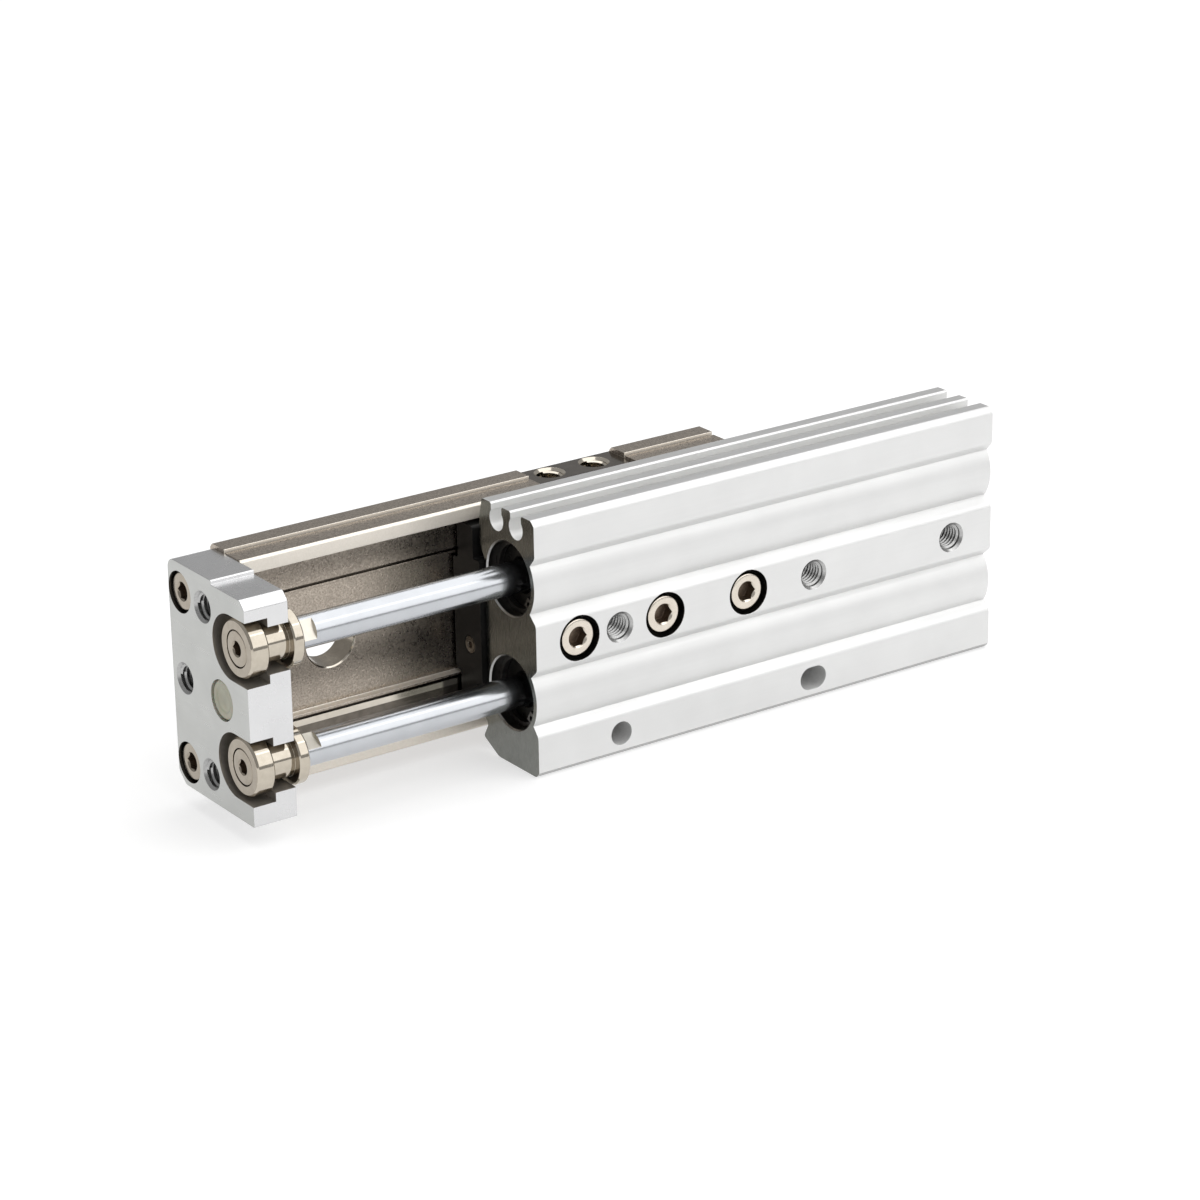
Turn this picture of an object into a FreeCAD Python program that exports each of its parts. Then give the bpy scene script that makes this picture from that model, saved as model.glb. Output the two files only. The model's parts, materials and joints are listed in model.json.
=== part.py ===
import FreeCAD, Part
import math
import os
import Sketcher

# Pneumatic slide table with two cylinders side by side and a linear guide
# X runs along the stroke and plus X draws the table in, Y runs from the mounting face to the table, Z is up
# The origin is the middle of the mounting face, on the plane midway between the two cylinders
# The table is drawn pulled out, almost to the end of its stroke

os.makedirs("parts", exist_ok=True)
doc = FreeCAD.newDocument("slide_table")

# Driving dimensions in millimetres
SIZES = {
    # Body section: heights count from the middle plane, depths from the mounting face
    "body_length": 107.6,
    "body_top": 24.5,
    "body_bottom": 25.5,
    "outer_land_edge": 17.4,
    "centre_land_half": 4.4,
    "valley_run": 1.8,
    "bulge_radius": 8.3,
    "top_edge_chamfer": 1.0,
    "bottom_edge_chamfer": 1.0,
    "seat_depth": 16.4,
    "seat_half": 13.0,
    "ear_depth": 17.8,
    "ear_inner": 15.3,
    "ear_outer": 18.6,
    "lip_depth": 16.8,
    "lip_height": 20.6,
    "toe_start": 13.3,
    "toe_depth": 18.2,
    "toe_height": 22.9,
    "toe_notch_depth": 16.6,
    "toe_notch_height": 20.1,
    # Cylinders
    "rod_pitch": 22.4,
    "rod_depth": 8.6,
    "bore_diameter": 12.0,
    "gland_seat_diameter": 14.0,
    "gland_seat_length": 11.7,
    "cap_seat_length": 8.7,
    "ring_groove_diameter": 14.6,
    "ring_groove_start": 2.0,
    "ring_groove_width": 1.1,
    # Switch grooves along the top side
    "groove_diameter": 4.4,
    "groove_floor": 5.0,
    "groove_mouth": 3.4,
    "groove_near": 5.8,
    "groove_far": 12.1,
    # Screws from the mounting face into the guide block
    "guide_screw_first": 9.6,
    "guide_screw_spacing": 19.3,
    "guide_screw_count": 3,
    "guide_screw_sink": 0.5,
    "counterbore_diameter": 8.8,
    "counterbore_depth": 4.8,
    "guide_thread_depth": 7.0,
    # Socket screws of four millimetre thread, shared by the guide and the end plate
    "screw_thread": 4.0,
    "screw_hole": 4.3,
    "screw_head_diameter": 7.2,
    "screw_socket": 3.0,
    "screw_socket_depth": 2.2,
    "screw_edge": 0.3,
    "screw_tip_gap": 0.6,
    "thread_clearance": 0.05,
    # Mounting holes
    "mount_thread": 5.0,
    "mount_thread_depth": 8.0,
    "mount_first": 18.6,
    "mount_second": 63.7,
    "mount_third": 97.6,
    "mouth_chamfer": 0.5,
    "through_diameter": 4.4,
    "through_height": 21.1,
    # Air ports in the bottom side
    "port_thread": 5.0,
    "port_depth": 5.0,
    "port_centre": 10.0,
    "front_port": 13.4,
    "rear_port": 10.4,
    "passage_diameter": 2.4,
    # Linear guide: the raceways count from the shoulder of the table, its ball side from the flange
    "guide_overhang": 1.0,
    "guide_block_length": 51.8,
    "cover_length": 4.0,
    "cover_inset": 0.3,
    "guide_side_gap": 0.4,
    "wing_gap": 0.6,
    "running_gap": 0.4,
    "ball_side": 0.4,
    "ball_diameter": 3.0,
    "ball_pitch": 3.15,
    "ball_count": 16,
    "raceway_clearance": 0.1,
    "raceway_depth": 2.3,
    "return_hole": 3.2,
    "return_height": 13.6,
    "cover_screw_depth": 20.6,
    "cover_screw_half": 5.2,
    "cover_screw_thread": 2.0,
    "cover_screw_length": 8.0,
    "cover_screw_head": 3.4,
    "cover_screw_head_height": 1.2,
    "cover_screw_socket": 1.2,
    "cover_screw_gap": 0.1,
    # Table: the shoulder counts from the seat of the guide, the inner face of the flange from its outer side
    "table_length": 108.0,
    "table_half": 22.2,
    "table_outer": 31.0,
    "table_edge_chamfer": 0.8,
    "land_rise": 0.5,
    "land_start": 26.0,
    "land_relief": 0.4,
    "floor_depth": 26.2,
    "shoulder_depth": 8.2,
    "shoulder_edge": 11.9,
    "shoulder_relief_start": 0.4,
    "shoulder_relief_width": 0.7,
    "shoulder_relief_depth": 0.9,
    "flange_inner": 2.9,
    "flange_end": 20.2,
    "flange_edge_chamfer": 0.4,
    "access_diameter": 10.6,
    "access_position": 21.2,
    "side_pocket_start": 65.4,
    "side_pocket_length": 21.8,
    "side_pocket_depth": 0.5,
    "side_thread": 5.0,
    "side_thread_depth": 5.0,
    "side_thread_first": 71.2,
    "side_thread_spacing": 10.1,
    "side_thread_level": 27.6,
    "work_thread": 4.0,
    "work_thread_depth": 5.0,
    "work_first": 14.0,
    "work_spacing": 40.0,
    "work_count": 3,
    "work_row_half": 14.0,
    # End plate
    "plate_thickness": 8.8,
    "plate_near": 4.3,
    "plate_far": 31.0,
    "plate_top": 22.0,
    "plate_bottom": 21.3,
    "plate_step": 0.8,
    "plate_step_at": 15.5,
    "plate_near_chamfer": 1.5,
    "plate_corner_radius": 2.0,
    "plate_cut_depth": 2.4,
    "plate_cut_height": 2.1,
    "slot_wide": 12.3,
    "slot_wide_depth": 4.6,
    "slot_neck": 8.9,
    "slot_end": 15.9,
    "plate_counterbore_diameter": 7.8,
    "plate_counterbore_depth": 4.6,
    "plate_screw_sink": 0.5,
    "plate_screw_depth": 27.0,
    "plate_screw_half": 16.4,
    "plate_screw_reach": 8.0,
    "plate_thread": 5.0,
    "plate_thread_near": 19.0,
    "plate_thread_half": 16.0,
    "plate_thread_far": 26.8,
    "plate_thread_far_depth": 7.0,
    "bumper_diameter": 7.6,
    "bumper_centre": 13.7,
    "bumper_nose": 5.4,
    "bumper_protrusion": 1.0,
    "bumper_recess": 0.3,
    "bumper_clearance": 0.05,
    "bumper_edge": 0.4,
    # Stroke: the pose drawn here and the stops
    "table_pulled_out": 48.8,
    "stroke": 50.0,
    "retract_gap": 1.2,
    "stop_clearance": 0.2,
    # Floating joints in the T-slots
    "spool_head": 11.0,
    "spool_head_length": 3.6,
    "spool_neck": 7.5,
    "spool_flange": 11.0,
    "spool_flange_length": 2.2,
    "spool_play": 0.4,
    "spool_edge": 0.3,
    "joint_head_seat": 7.0,
    "joint_head_gap": 0.1,
    "joint_head_height": 2.4,
    "joint_thread": 4.0,
    "joint_thread_reach": 8.0,
    "joint_thread_gap": 0.1,
    "joint_socket": 2.5,
    "joint_socket_depth": 1.5,
    # Rods, glands and head caps
    "rod_diameter": 6.0,
    "rod_flats": 4.6,
    "rod_flat_length": 3.8,
    "rod_tail": 4.0,
    "rod_clearance": 0.05,
    "gland_clearance": 0.03,
    "gland_lead": 0.5,
    "oring_section": 1.3,
    "oring_groove_width": 1.8,
    "oring_groove_start": 1.6,
    "seal_clearance": 0.03,
    "rod_seal_start": 4.6,
    "rod_seal_width": 2.4,
    "rod_seal_height": 1.6,
    "seal_notch": 0.7,
    "cap_recess_diameter": 6.0,
    "cap_recess_depth": 1.0,
    # Retaining rings
    "ring_thickness": 1.0,
    "ring_inner_diameter": 12.2,
    "ring_clearance": 0.05,
    "ring_opening": 2.0,
    "ring_lug_width": 2.2,
    "ring_lug_reach": 4.3,
    "ring_lug_root": 0.4,
    "ring_lug_hole": 1.0,
    # Pistons
    "piston_diameter": 11.9,
    "piston_length": 16.0,
    "piston_edge": 0.4,
    "piston_seal_start": 3.0,
    "piston_seal_width": 2.4,
    "piston_seal_height": 1.9,
    "magnet_start": 9.0,
    "magnet_width": 4.0,
    "magnet_height": 2.0,
    "magnet_sink": 0.15,
    "piston_bumper_diameter": 10.0,
    "piston_bumper_length": 2.0,
}

sheet = doc.addObject("Spreadsheet::Sheet", "dim")
for row, (alias, size) in enumerate(SIZES.items(), start=1):
    sheet.set(f"A{row}", alias)
    sheet.set(f"B{row}", str(size))
    sheet.setAlias(f"B{row}", alias)
doc.recompute()

# Places that several pieces share
BODY_FRONT = "(-dim.body_length / 2)"
TABLE_FRONT = f"({BODY_FRONT} - dim.table_pulled_out)"
GUIDE_FRONT = f"({BODY_FRONT} - dim.guide_overhang)"
CYLINDERS = {"upper": "dim.rod_pitch / 2", "lower": "-dim.rod_pitch / 2"}
BORE_CENTRES = [("dim.rod_depth", height) for height in CYLINDERS.values()]
TAPPED = "(dim.screw_thread + 2 * dim.thread_clearance)"
SHOULDER = "(dim.seat_depth + dim.shoulder_depth)"
RACEWAY_LEVEL = f"({SHOULDER} - dim.raceway_depth)"
FLANGE = "(dim.table_half - dim.flange_inner)"
BALL_SIDE = f"({FLANGE} - dim.ball_side)"

# Turns of a piece about its own place
ALONG_X = FreeCAD.Rotation()
ALONG_Y = FreeCAD.Rotation(FreeCAD.Vector(0, 0, 1), 90)
BACK_TO_FRONT = FreeCAD.Rotation(FreeCAD.Vector(0, 0, 1), 180)
RING_TURN = FreeCAD.Rotation(FreeCAD.Vector(1, 0, 0), -58)
FLAT_TURNS = {"upper": FreeCAD.Rotation(FreeCAD.Vector(1, 0, 0), 62),
              "lower": FreeCAD.Rotation(FreeCAD.Vector(1, 0, 0), 28)}


def measure(expression):
    return float(sheet.evalExpression(expression))


def origin_part(body, role):
    return next(part for part in body.Origin.OriginFeatures if part.Role == role)


def new_body(label, x="0", y="0", z="0", turn=ALONG_X):
    body = doc.addObject("PartDesign::Body", label)
    body.Label = label
    body.Placement = FreeCAD.Placement(FreeCAD.Vector(), turn)
    for axis, place in zip("xyz", (x, y, z)):
        body.setExpression(f"Placement.Base.{axis}", place)
    return body


def new_sketch(body, plane, offset="0"):
    sketch = body.newObject("Sketcher::SketchObject", f"{body.Name}_sketch")
    sketch.AttachmentSupport = [(origin_part(body, plane), "")]
    sketch.MapMode = "FlatFace"
    sketch.setExpression("AttachmentOffset.Base.z", offset)
    return sketch


def bind(sketch, expression, *constraint):
    row = sketch.addConstraint(Sketcher.Constraint(*constraint, measure(expression)))
    sketch.setExpression(f"Constraints[{row}]", expression)


def pin_point(sketch, edge, end, across, up):
    bind(sketch, across, "DistanceX", edge, end)
    bind(sketch, up, "DistanceY", edge, end)


# An arc from one point to the next that keeps its centre on the left of the way
def arc_between(start, stop, radius):
    chord = stop - start
    left = FreeCAD.Vector(-chord.y, chord.x, 0).normalize()
    rise = math.sqrt(max(radius ** 2 - (chord.Length / 2) ** 2, 0))
    centre = (start + stop) * 0.5 + left * rise
    crown = centre - left * radius
    return Part.Arc(start, crown, stop)


# A closed outline through corners, where arcs gives the radius of each rounded edge by its first corner
def outline(sketch, corners, arcs=None):
    arcs = arcs or {}
    points = [FreeCAD.Vector(measure(across), measure(up), 0) for across, up in corners]
    edges = []
    for place, start in enumerate(points):
        stop = points[(place + 1) % len(points)]
        if place in arcs:
            edge = sketch.addGeometry(arc_between(start, stop, measure(arcs[place])), False)
            bind(sketch, arcs[place], "Radius", edge)
        else:
            edge = sketch.addGeometry(Part.LineSegment(start, stop), False)
        edges.append(edge)
    for place, (across, up) in enumerate(corners):
        sketch.addConstraint(Sketcher.Constraint("Coincident", edges[place - 1], 2, edges[place], 1))
        pin_point(sketch, edges[place], 1, across, up)


def circles(sketch, centres, diameter):
    for across, up in centres:
        middle = FreeCAD.Vector(measure(across), measure(up), 0)
        edge = sketch.addGeometry(Part.Circle(middle, FreeCAD.Vector(0, 0, 1), measure(diameter) / 2), False)
        pin_point(sketch, edge, 3, across, up)
        bind(sketch, diameter, "Diameter", edge)


def rectangle(sketch, left, right, low, high):
    outline(sketch, [(left, low), (right, low), (right, high), (left, high)])


def hexagon(sketch, width):
    side = f"{width} / 2"
    tip = f"{width} / sqrt(3)"
    shoulder = f"{width} / sqrt(12)"
    outline(sketch, [("0", tip), (f"-{side}", shoulder), (f"-{side}", f"-{shoulder}"),
                     ("0", f"-{tip}"), (side, f"-{shoulder}"), (side, shoulder)])


def pad(body, sketch, length):
    feature = body.newObject("PartDesign::Pad", f"{body.Name}_pad")
    feature.Profile = sketch
    feature.setExpression("Length", length)
    doc.recompute()
    return feature


# A cut along the sketch's own normal, to a depth or right through
def pocket(body, sketch, depth=None, along_normal=True):
    before = body.Shape.Volume
    feature = body.newObject("PartDesign::Pocket", f"{body.Name}_cut")
    feature.Profile = sketch
    feature.Reversed = along_normal
    if depth is None:
        feature.Type = "ThroughAll"
    else:
        feature.setExpression("Length", depth)
    doc.recompute()
    if not body.Shape.Volume < before:
        raise RuntimeError(f"{feature.Name} cuts nothing")
    return feature


def drill(body, plane, offset, centres, diameter, depth=None, along_normal=True):
    sketch = new_sketch(body, plane, offset)
    circles(sketch, centres, diameter)
    return pocket(body, sketch, depth, along_normal)


def revolve(body, sketch):
    feature = body.newObject("PartDesign::Revolution", f"{body.Name}_turned")
    feature.Profile = sketch
    feature.ReferenceAxis = (sketch, ["H_Axis"])
    feature.Angle = 360
    doc.recompute()
    return feature


# A turned piece from half of its section, radius over length
def turned(body, corners, arcs=None):
    sketch = new_sketch(body, "XY_Plane")
    outline(sketch, corners, arcs)
    return revolve(body, sketch)


# Breaks the round edges of one radius that lie in one plane across an axis
def break_mouths(body, axis, level, diameter):
    base = body.Tip
    names = []
    for number, edge in enumerate(base.Shape.Edges, start=1):
        if not isinstance(edge.Curve, Part.Circle):
            continue
        same_radius = abs(edge.Curve.Radius - measure(diameter) / 2) < 1e-4
        if same_radius and abs(getattr(edge.Curve.Center, axis) - measure(level)) < 1e-4:
            names.append(f"Edge{number}")
    feature = body.newObject("PartDesign::Chamfer", f"{body.Name}_mouths")
    feature.Base = (base, names)
    feature.setExpression("Size", "dim.mouth_chamfer")
    doc.recompute()
    return feature


# A row of the same features along one axis of the piece
def repeat(body, features, axis, spacing, count):
    pattern = body.newObject("PartDesign::LinearPattern", f"{body.Name}_row")
    pattern.Originals = features
    pattern.Direction = (origin_part(body, axis), [""])
    pattern.Mode = "Spacing"
    pattern.setExpression("Offset", spacing)
    pattern.setExpression("Occurrences", count)
    body.Tip = pattern
    doc.recompute()


# A socket screw along its own X, with the underside of its head at zero
def socket_screw(body, head, head_height, thread, reach, socket, socket_depth):
    edge = "dim.screw_edge"
    shank = turned(body, [
        (f"-{head_height}", "0"),
        (reach, "0"),
        (reach, f"{thread} / 2 - {edge}"),
        (f"{reach} - {edge}", f"{thread} / 2"),
        ("0", f"{thread} / 2"),
        ("0", f"{head} / 2"),
        (f"-{head_height} + {edge}", f"{head} / 2"),
        (f"-{head_height}", f"{head} / 2 - {edge}"),
    ])
    sketch = new_sketch(body, "YZ_Plane", f"-{head_height}")
    hexagon(sketch, socket)
    return [shank, pocket(body, sketch, socket_depth)]


# Body: the extruded section, then its bores, grooves and holes
body = new_body("body", x=BODY_FRONT)


def bulge_at(height):
    return f"(dim.rod_depth - sqrt(dim.bulge_radius ^ 2 - ({height} - dim.rod_pitch / 2) ^ 2))"


VALLEY_OUTER = "(dim.outer_land_edge - dim.valley_run)"
VALLEY_INNER = "(dim.centre_land_half + dim.valley_run)"
section = new_sketch(body, "YZ_Plane")
outline(section, [
    ("0", "dim.body_top - dim.top_edge_chamfer"),
    ("0", "dim.outer_land_edge"),
    (bulge_at(VALLEY_OUTER), VALLEY_OUTER),
    (bulge_at(VALLEY_INNER), VALLEY_INNER),
    ("0", "dim.centre_land_half"),
    ("0", "-dim.centre_land_half"),
    (bulge_at(VALLEY_INNER), f"-{VALLEY_INNER}"),
    (bulge_at(VALLEY_OUTER), f"-{VALLEY_OUTER}"),
    ("0", "-dim.outer_land_edge"),
    ("0", "-dim.body_bottom + dim.bottom_edge_chamfer"),
    ("dim.bottom_edge_chamfer", "-dim.body_bottom"),
    ("dim.toe_start", "-dim.body_bottom"),
    ("dim.toe_depth", "-dim.toe_height"),
    ("dim.toe_notch_depth", "-dim.toe_notch_height"),
    ("dim.ear_depth", "-dim.ear_outer"),
    ("dim.ear_depth", "-dim.ear_inner"),
    ("dim.seat_depth", "-dim.seat_half"),
    ("dim.seat_depth", "dim.seat_half"),
    ("dim.ear_depth", "dim.ear_inner"),
    ("dim.ear_depth", "dim.lip_height"),
    ("dim.lip_depth", "dim.body_top"),
    ("dim.top_edge_chamfer", "dim.body_top"),
], arcs={2: "dim.bulge_radius", 6: "dim.bulge_radius"})
pad(body, section, "dim.body_length")

drill(body, "YZ_Plane", "0", BORE_CENTRES, "dim.bore_diameter")
drill(body, "YZ_Plane", "0", BORE_CENTRES, "dim.gland_seat_diameter", "dim.gland_seat_length")
drill(body, "YZ_Plane", "dim.body_length - dim.cap_seat_length", BORE_CENTRES,
      "dim.gland_seat_diameter", "dim.cap_seat_length")
FRONT_RING = "dim.ring_groove_start"
REAR_RING = "dim.body_length - dim.ring_groove_start - dim.ring_groove_width"
for place in (FRONT_RING, REAR_RING):
    drill(body, "YZ_Plane", place, BORE_CENTRES, "dim.ring_groove_diameter", "dim.ring_groove_width")

GROOVE_CENTRE = "dim.body_top - dim.groove_floor + dim.groove_diameter / 2"
grooves = ("dim.groove_near", "dim.groove_far")
drill(body, "YZ_Plane", "0", [(groove, GROOVE_CENTRE) for groove in grooves], "dim.groove_diameter")
mouths = new_sketch(body, "YZ_Plane")
for groove in grooves:
    rectangle(mouths, f"{groove} - dim.groove_mouth / 2", f"{groove} + dim.groove_mouth / 2",
              GROOVE_CENTRE, "dim.body_top + dim.groove_mouth")
pocket(body, mouths)

sink = drill(body, "XZ_Plane", "0", [("dim.guide_screw_first", "0")],
             "dim.counterbore_diameter", "dim.counterbore_depth", along_normal=False)
clear = drill(body, "XZ_Plane", "0", [("dim.guide_screw_first", "0")],
              "dim.screw_hole", along_normal=False)
repeat(body, [sink, clear], "X_Axis", "dim.guide_screw_spacing", "dim.guide_screw_count")
threads = [(place, "0") for place in ("dim.mount_first", "dim.mount_second", "dim.mount_third")]
drill(body, "XZ_Plane", "0", threads, "dim.mount_thread", "dim.mount_thread_depth", along_normal=False)
break_mouths(body, "y", "0", "dim.mount_thread")
plain = [(place, "-dim.through_height") for place in ("dim.mount_first", "dim.mount_second")]
drill(body, "XZ_Plane", "0", plain, "dim.through_diameter", along_normal=False)

ports = [("dim.front_port", "dim.port_centre"), ("dim.body_length - dim.rear_port", "dim.port_centre")]
drill(body, "XY_Plane", "-dim.body_bottom", ports, "dim.port_thread", "dim.port_depth")
drill(body, "XY_Plane", "-dim.body_bottom", ports, "dim.passage_diameter",
      "dim.body_bottom + dim.rod_pitch / 2")
break_mouths(body, "z", "-dim.body_bottom", "dim.port_thread")

# Guide block and its return covers share one section, a T on a seat between the ears of the body
BALL_HEIGHT = f"(({BALL_SIDE} + {FLANGE}) / 2)"
RACEWAY = "(dim.ball_diameter + 2 * dim.raceway_clearance)"


def guide_section(sketch, inset):
    seat = f"(dim.seat_half - dim.guide_side_gap - {inset})"
    wing = f"({BALL_SIDE} - {inset})"
    crown = f"(dim.shoulder_edge - dim.running_gap - {inset})"
    foot = f"(dim.seat_depth + {inset})"
    wing_near = f"(dim.ear_depth + dim.wing_gap + {inset})"
    wing_far = f"({SHOULDER} - dim.running_gap - {inset})"
    top = f"(dim.floor_depth - dim.running_gap - {inset})"
    half = [
        (foot, seat),
        (wing_near, seat),
        (wing_near, wing),
        (wing_far, wing),
        (wing_far, crown),
        (top, crown),
    ]
    outline(sketch, half + [(depth, f"-{height}") for depth, height in reversed(half)])


block = new_body("guide_block", x=f"{GUIDE_FRONT} + dim.cover_length")
section = new_sketch(block, "YZ_Plane")
guide_section(section, "0")
pad(block, section, "dim.guide_block_length")
rows = [(RACEWAY_LEVEL, BALL_HEIGHT), (RACEWAY_LEVEL, f"-{BALL_HEIGHT}")]
drill(block, "YZ_Plane", "0", rows, RACEWAY)
returns = [(RACEWAY_LEVEL, "dim.return_height"), (RACEWAY_LEVEL, "-dim.return_height")]
drill(block, "YZ_Plane", "0", returns, "dim.return_hole")
BLOCK_SCREW_FIRST = "dim.guide_screw_first + dim.guide_overhang - dim.cover_length"
thread = drill(block, "XZ_Plane", "-dim.seat_depth", [(BLOCK_SCREW_FIRST, "0")], TAPPED,
               "dim.guide_thread_depth", along_normal=False)
repeat(block, [thread], "X_Axis", "dim.guide_screw_spacing", "dim.guide_screw_count")
cover_screw_places = [("dim.cover_screw_depth", "dim.cover_screw_half"),
                      ("dim.cover_screw_depth", "-dim.cover_screw_half")]
COVER_SCREW_REACH = "(dim.cover_screw_length - dim.cover_length + dim.cover_screw_head_height)"
COVER_TAPPED = "(dim.cover_screw_thread + 2 * dim.thread_clearance)"
drill(block, "YZ_Plane", "0", cover_screw_places, COVER_TAPPED, COVER_SCREW_REACH)
drill(block, "YZ_Plane", f"dim.guide_block_length - {COVER_SCREW_REACH}", cover_screw_places,
      COVER_TAPPED, COVER_SCREW_REACH)

GUIDE_REAR = f"({GUIDE_FRONT} + 2 * dim.cover_length + dim.guide_block_length)"
COVER_HOLE = "(dim.cover_screw_thread + 2 * dim.cover_screw_gap)"
COVER_SINK = "(dim.cover_screw_head + 2 * dim.cover_screw_gap)"
covers = {"front_return_cover": (GUIDE_FRONT, "0"),
          "rear_return_cover": (f"{GUIDE_REAR} - dim.cover_length",
                                "dim.cover_length - dim.cover_screw_head_height")}
for label, (place, sink_at) in covers.items():
    cover = new_body(label, x=place)
    section = new_sketch(cover, "YZ_Plane")
    guide_section(section, "dim.cover_inset")
    pad(cover, section, "dim.cover_length")
    drill(cover, "YZ_Plane", "0", cover_screw_places, COVER_HOLE)
    drill(cover, "YZ_Plane", sink_at, cover_screw_places, COVER_SINK, "dim.cover_screw_head_height")

# Screws of the return covers: two at the front, and the same two turned about at the rear
screws = []
for place, turn, name in ((f"{GUIDE_FRONT} + dim.cover_screw_head_height", ALONG_X, "front_pair"),
                          (f"{GUIDE_REAR} - dim.cover_screw_head_height", BACK_TO_FRONT, "rear_pair")):
    pair = new_body(name, x=place, y="dim.cover_screw_depth", z="-dim.cover_screw_half", turn=turn)
    features = socket_screw(pair, "dim.cover_screw_head", "dim.cover_screw_head_height",
                            "dim.cover_screw_thread", "dim.cover_screw_length",
                            "dim.cover_screw_socket", "dim.cover_screw_head_height / 2")
    repeat(pair, features, "Z_Axis", "2 * dim.cover_screw_half", "2")
    screws.append(pair)

group = doc.addObject("Part::Compound", "return_cover_screws")
group.Label = "return_cover_screws"
group.Links = screws

# Balls of the two loaded rows, held between the block and the table
BALL_RADIUS = "dim.ball_diameter / 2"
ROW_LENGTH = "(dim.ball_pitch * (dim.ball_count - 1))"
FIRST_BALL = f"{GUIDE_FRONT} + dim.cover_length + (dim.guide_block_length - {ROW_LENGTH}) / 2"
for name, height in (("upper", BALL_HEIGHT), ("lower", f"-{BALL_HEIGHT}")):
    balls = new_body(f"guide_balls_{name}", x=FIRST_BALL, y=RACEWAY_LEVEL, z=height)
    ball = turned(balls, [(BALL_RADIUS, "0"), ("0", BALL_RADIUS), (f"-{BALL_RADIUS}", "0")],
                  arcs={0: BALL_RADIUS, 1: BALL_RADIUS})
    repeat(balls, [ball], "X_Axis", "dim.ball_pitch", "dim.ball_count")

# Screws from the mounting face into the guide block, the last one first
LAST_SCREW = "dim.guide_screw_first + dim.guide_screw_spacing * (dim.guide_screw_count - 1)"
GUIDE_SCREW_TIP = "(dim.seat_depth + dim.guide_thread_depth - dim.screw_tip_gap)"
guide_screws = new_body("guide_screws", x=f"{BODY_FRONT} + {LAST_SCREW}", y="dim.counterbore_depth",
                        turn=ALONG_Y)
features = socket_screw(guide_screws, "dim.screw_head_diameter",
                        "(dim.counterbore_depth - dim.guide_screw_sink)", "dim.screw_thread",
                        f"({GUIDE_SCREW_TIP} - dim.counterbore_depth)",
                        "dim.screw_socket", "dim.screw_socket_depth")
repeat(guide_screws, features, "Y_Axis", "dim.guide_screw_spacing", "dim.guide_screw_count")


# Glands and head caps are turned plugs with an O-ring groove, held in their seats by retaining rings
PLUG_RADIUS = "(dim.gland_seat_diameter / 2 - dim.gland_clearance)"
GROOVE_RADIUS = "(dim.gland_seat_diameter / 2 - dim.seal_clearance - dim.oring_section)"
GROOVE_STOP = "dim.oring_groove_start + dim.oring_groove_width"
ROD_HOLE = "(dim.rod_diameter / 2 + dim.rod_clearance)"
PLUG_FRONT = "(dim.ring_groove_start + dim.ring_groove_width)"
GLAND_LENGTH = f"(dim.gland_seat_length - {PLUG_FRONT})"
CAP_LENGTH = f"(dim.cap_seat_length - {PLUG_FRONT})"


def plug_outside(length):
    return [
        (length, PLUG_RADIUS),
        (GROOVE_STOP, PLUG_RADIUS),
        (GROOVE_STOP, GROOVE_RADIUS),
        ("dim.oring_groove_start", GROOVE_RADIUS),
        ("dim.oring_groove_start", PLUG_RADIUS),
        ("dim.gland_lead", PLUG_RADIUS),
        ("0", f"{PLUG_RADIUS} - dim.gland_lead"),
    ]


def oring(label, x, z, turn):
    ring = new_body(label, x=x, y="dim.rod_depth", z=z, turn=turn)
    sketch = new_sketch(ring, "XY_Plane")
    middle = "dim.oring_groove_start + dim.oring_groove_width / 2"
    circles(sketch, [(middle, f"{GROOVE_RADIUS} + dim.oring_section / 2")], "dim.oring_section")
    revolve(ring, sketch)


# A lip seal whose open side faces the pressure at its far end
def lip_seal(label, x, z, inner, outer, width):
    seal = new_body(label, x=x, y="dim.rod_depth", z=z)
    middle = f"(({inner} + {outer}) / 2)"
    turned(seal, [
        ("0", inner),
        (width, inner),
        (width, f"{middle} - dim.seal_notch / 2"),
        (f"{width} - dim.seal_notch", middle),
        (width, f"{middle} + dim.seal_notch / 2"),
        (width, outer),
        ("0", outer),
    ])


def retaining_ring(label, x, z):
    ring = new_body(label, x=x, y="dim.rod_depth", z=z, turn=RING_TURN)
    sketch = new_sketch(ring, "YZ_Plane")
    circles(sketch, [("0", "0")], "dim.ring_groove_diameter - 2 * dim.ring_clearance")
    circles(sketch, [("0", "0")], "dim.ring_inner_diameter")
    pad(ring, sketch, "dim.ring_thickness")
    near = "dim.ring_opening / 2"
    far = "(dim.ring_opening / 2 + dim.ring_lug_width)"
    root = "-dim.ring_inner_diameter / 2 - dim.ring_lug_root"
    lugs = new_sketch(ring, "YZ_Plane")
    rectangle(lugs, near, far, root, "-dim.ring_lug_reach")
    rectangle(lugs, f"-{far}", f"-{near}", root, "-dim.ring_lug_reach")
    pad(ring, lugs, "dim.ring_thickness")
    opening = new_sketch(ring, "YZ_Plane")
    rectangle(opening, f"-{near}", near, "-dim.ring_groove_diameter", "-dim.ring_lug_reach")
    pocket(ring, opening)
    eye = f"({near} + dim.ring_lug_width / 2)"
    eye_height = "-(dim.ring_inner_diameter / 2 + dim.ring_lug_reach) / 2"
    drill(ring, "YZ_Plane", "0", [(eye, eye_height), (f"-{eye}", eye_height)], "dim.ring_lug_hole")


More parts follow.
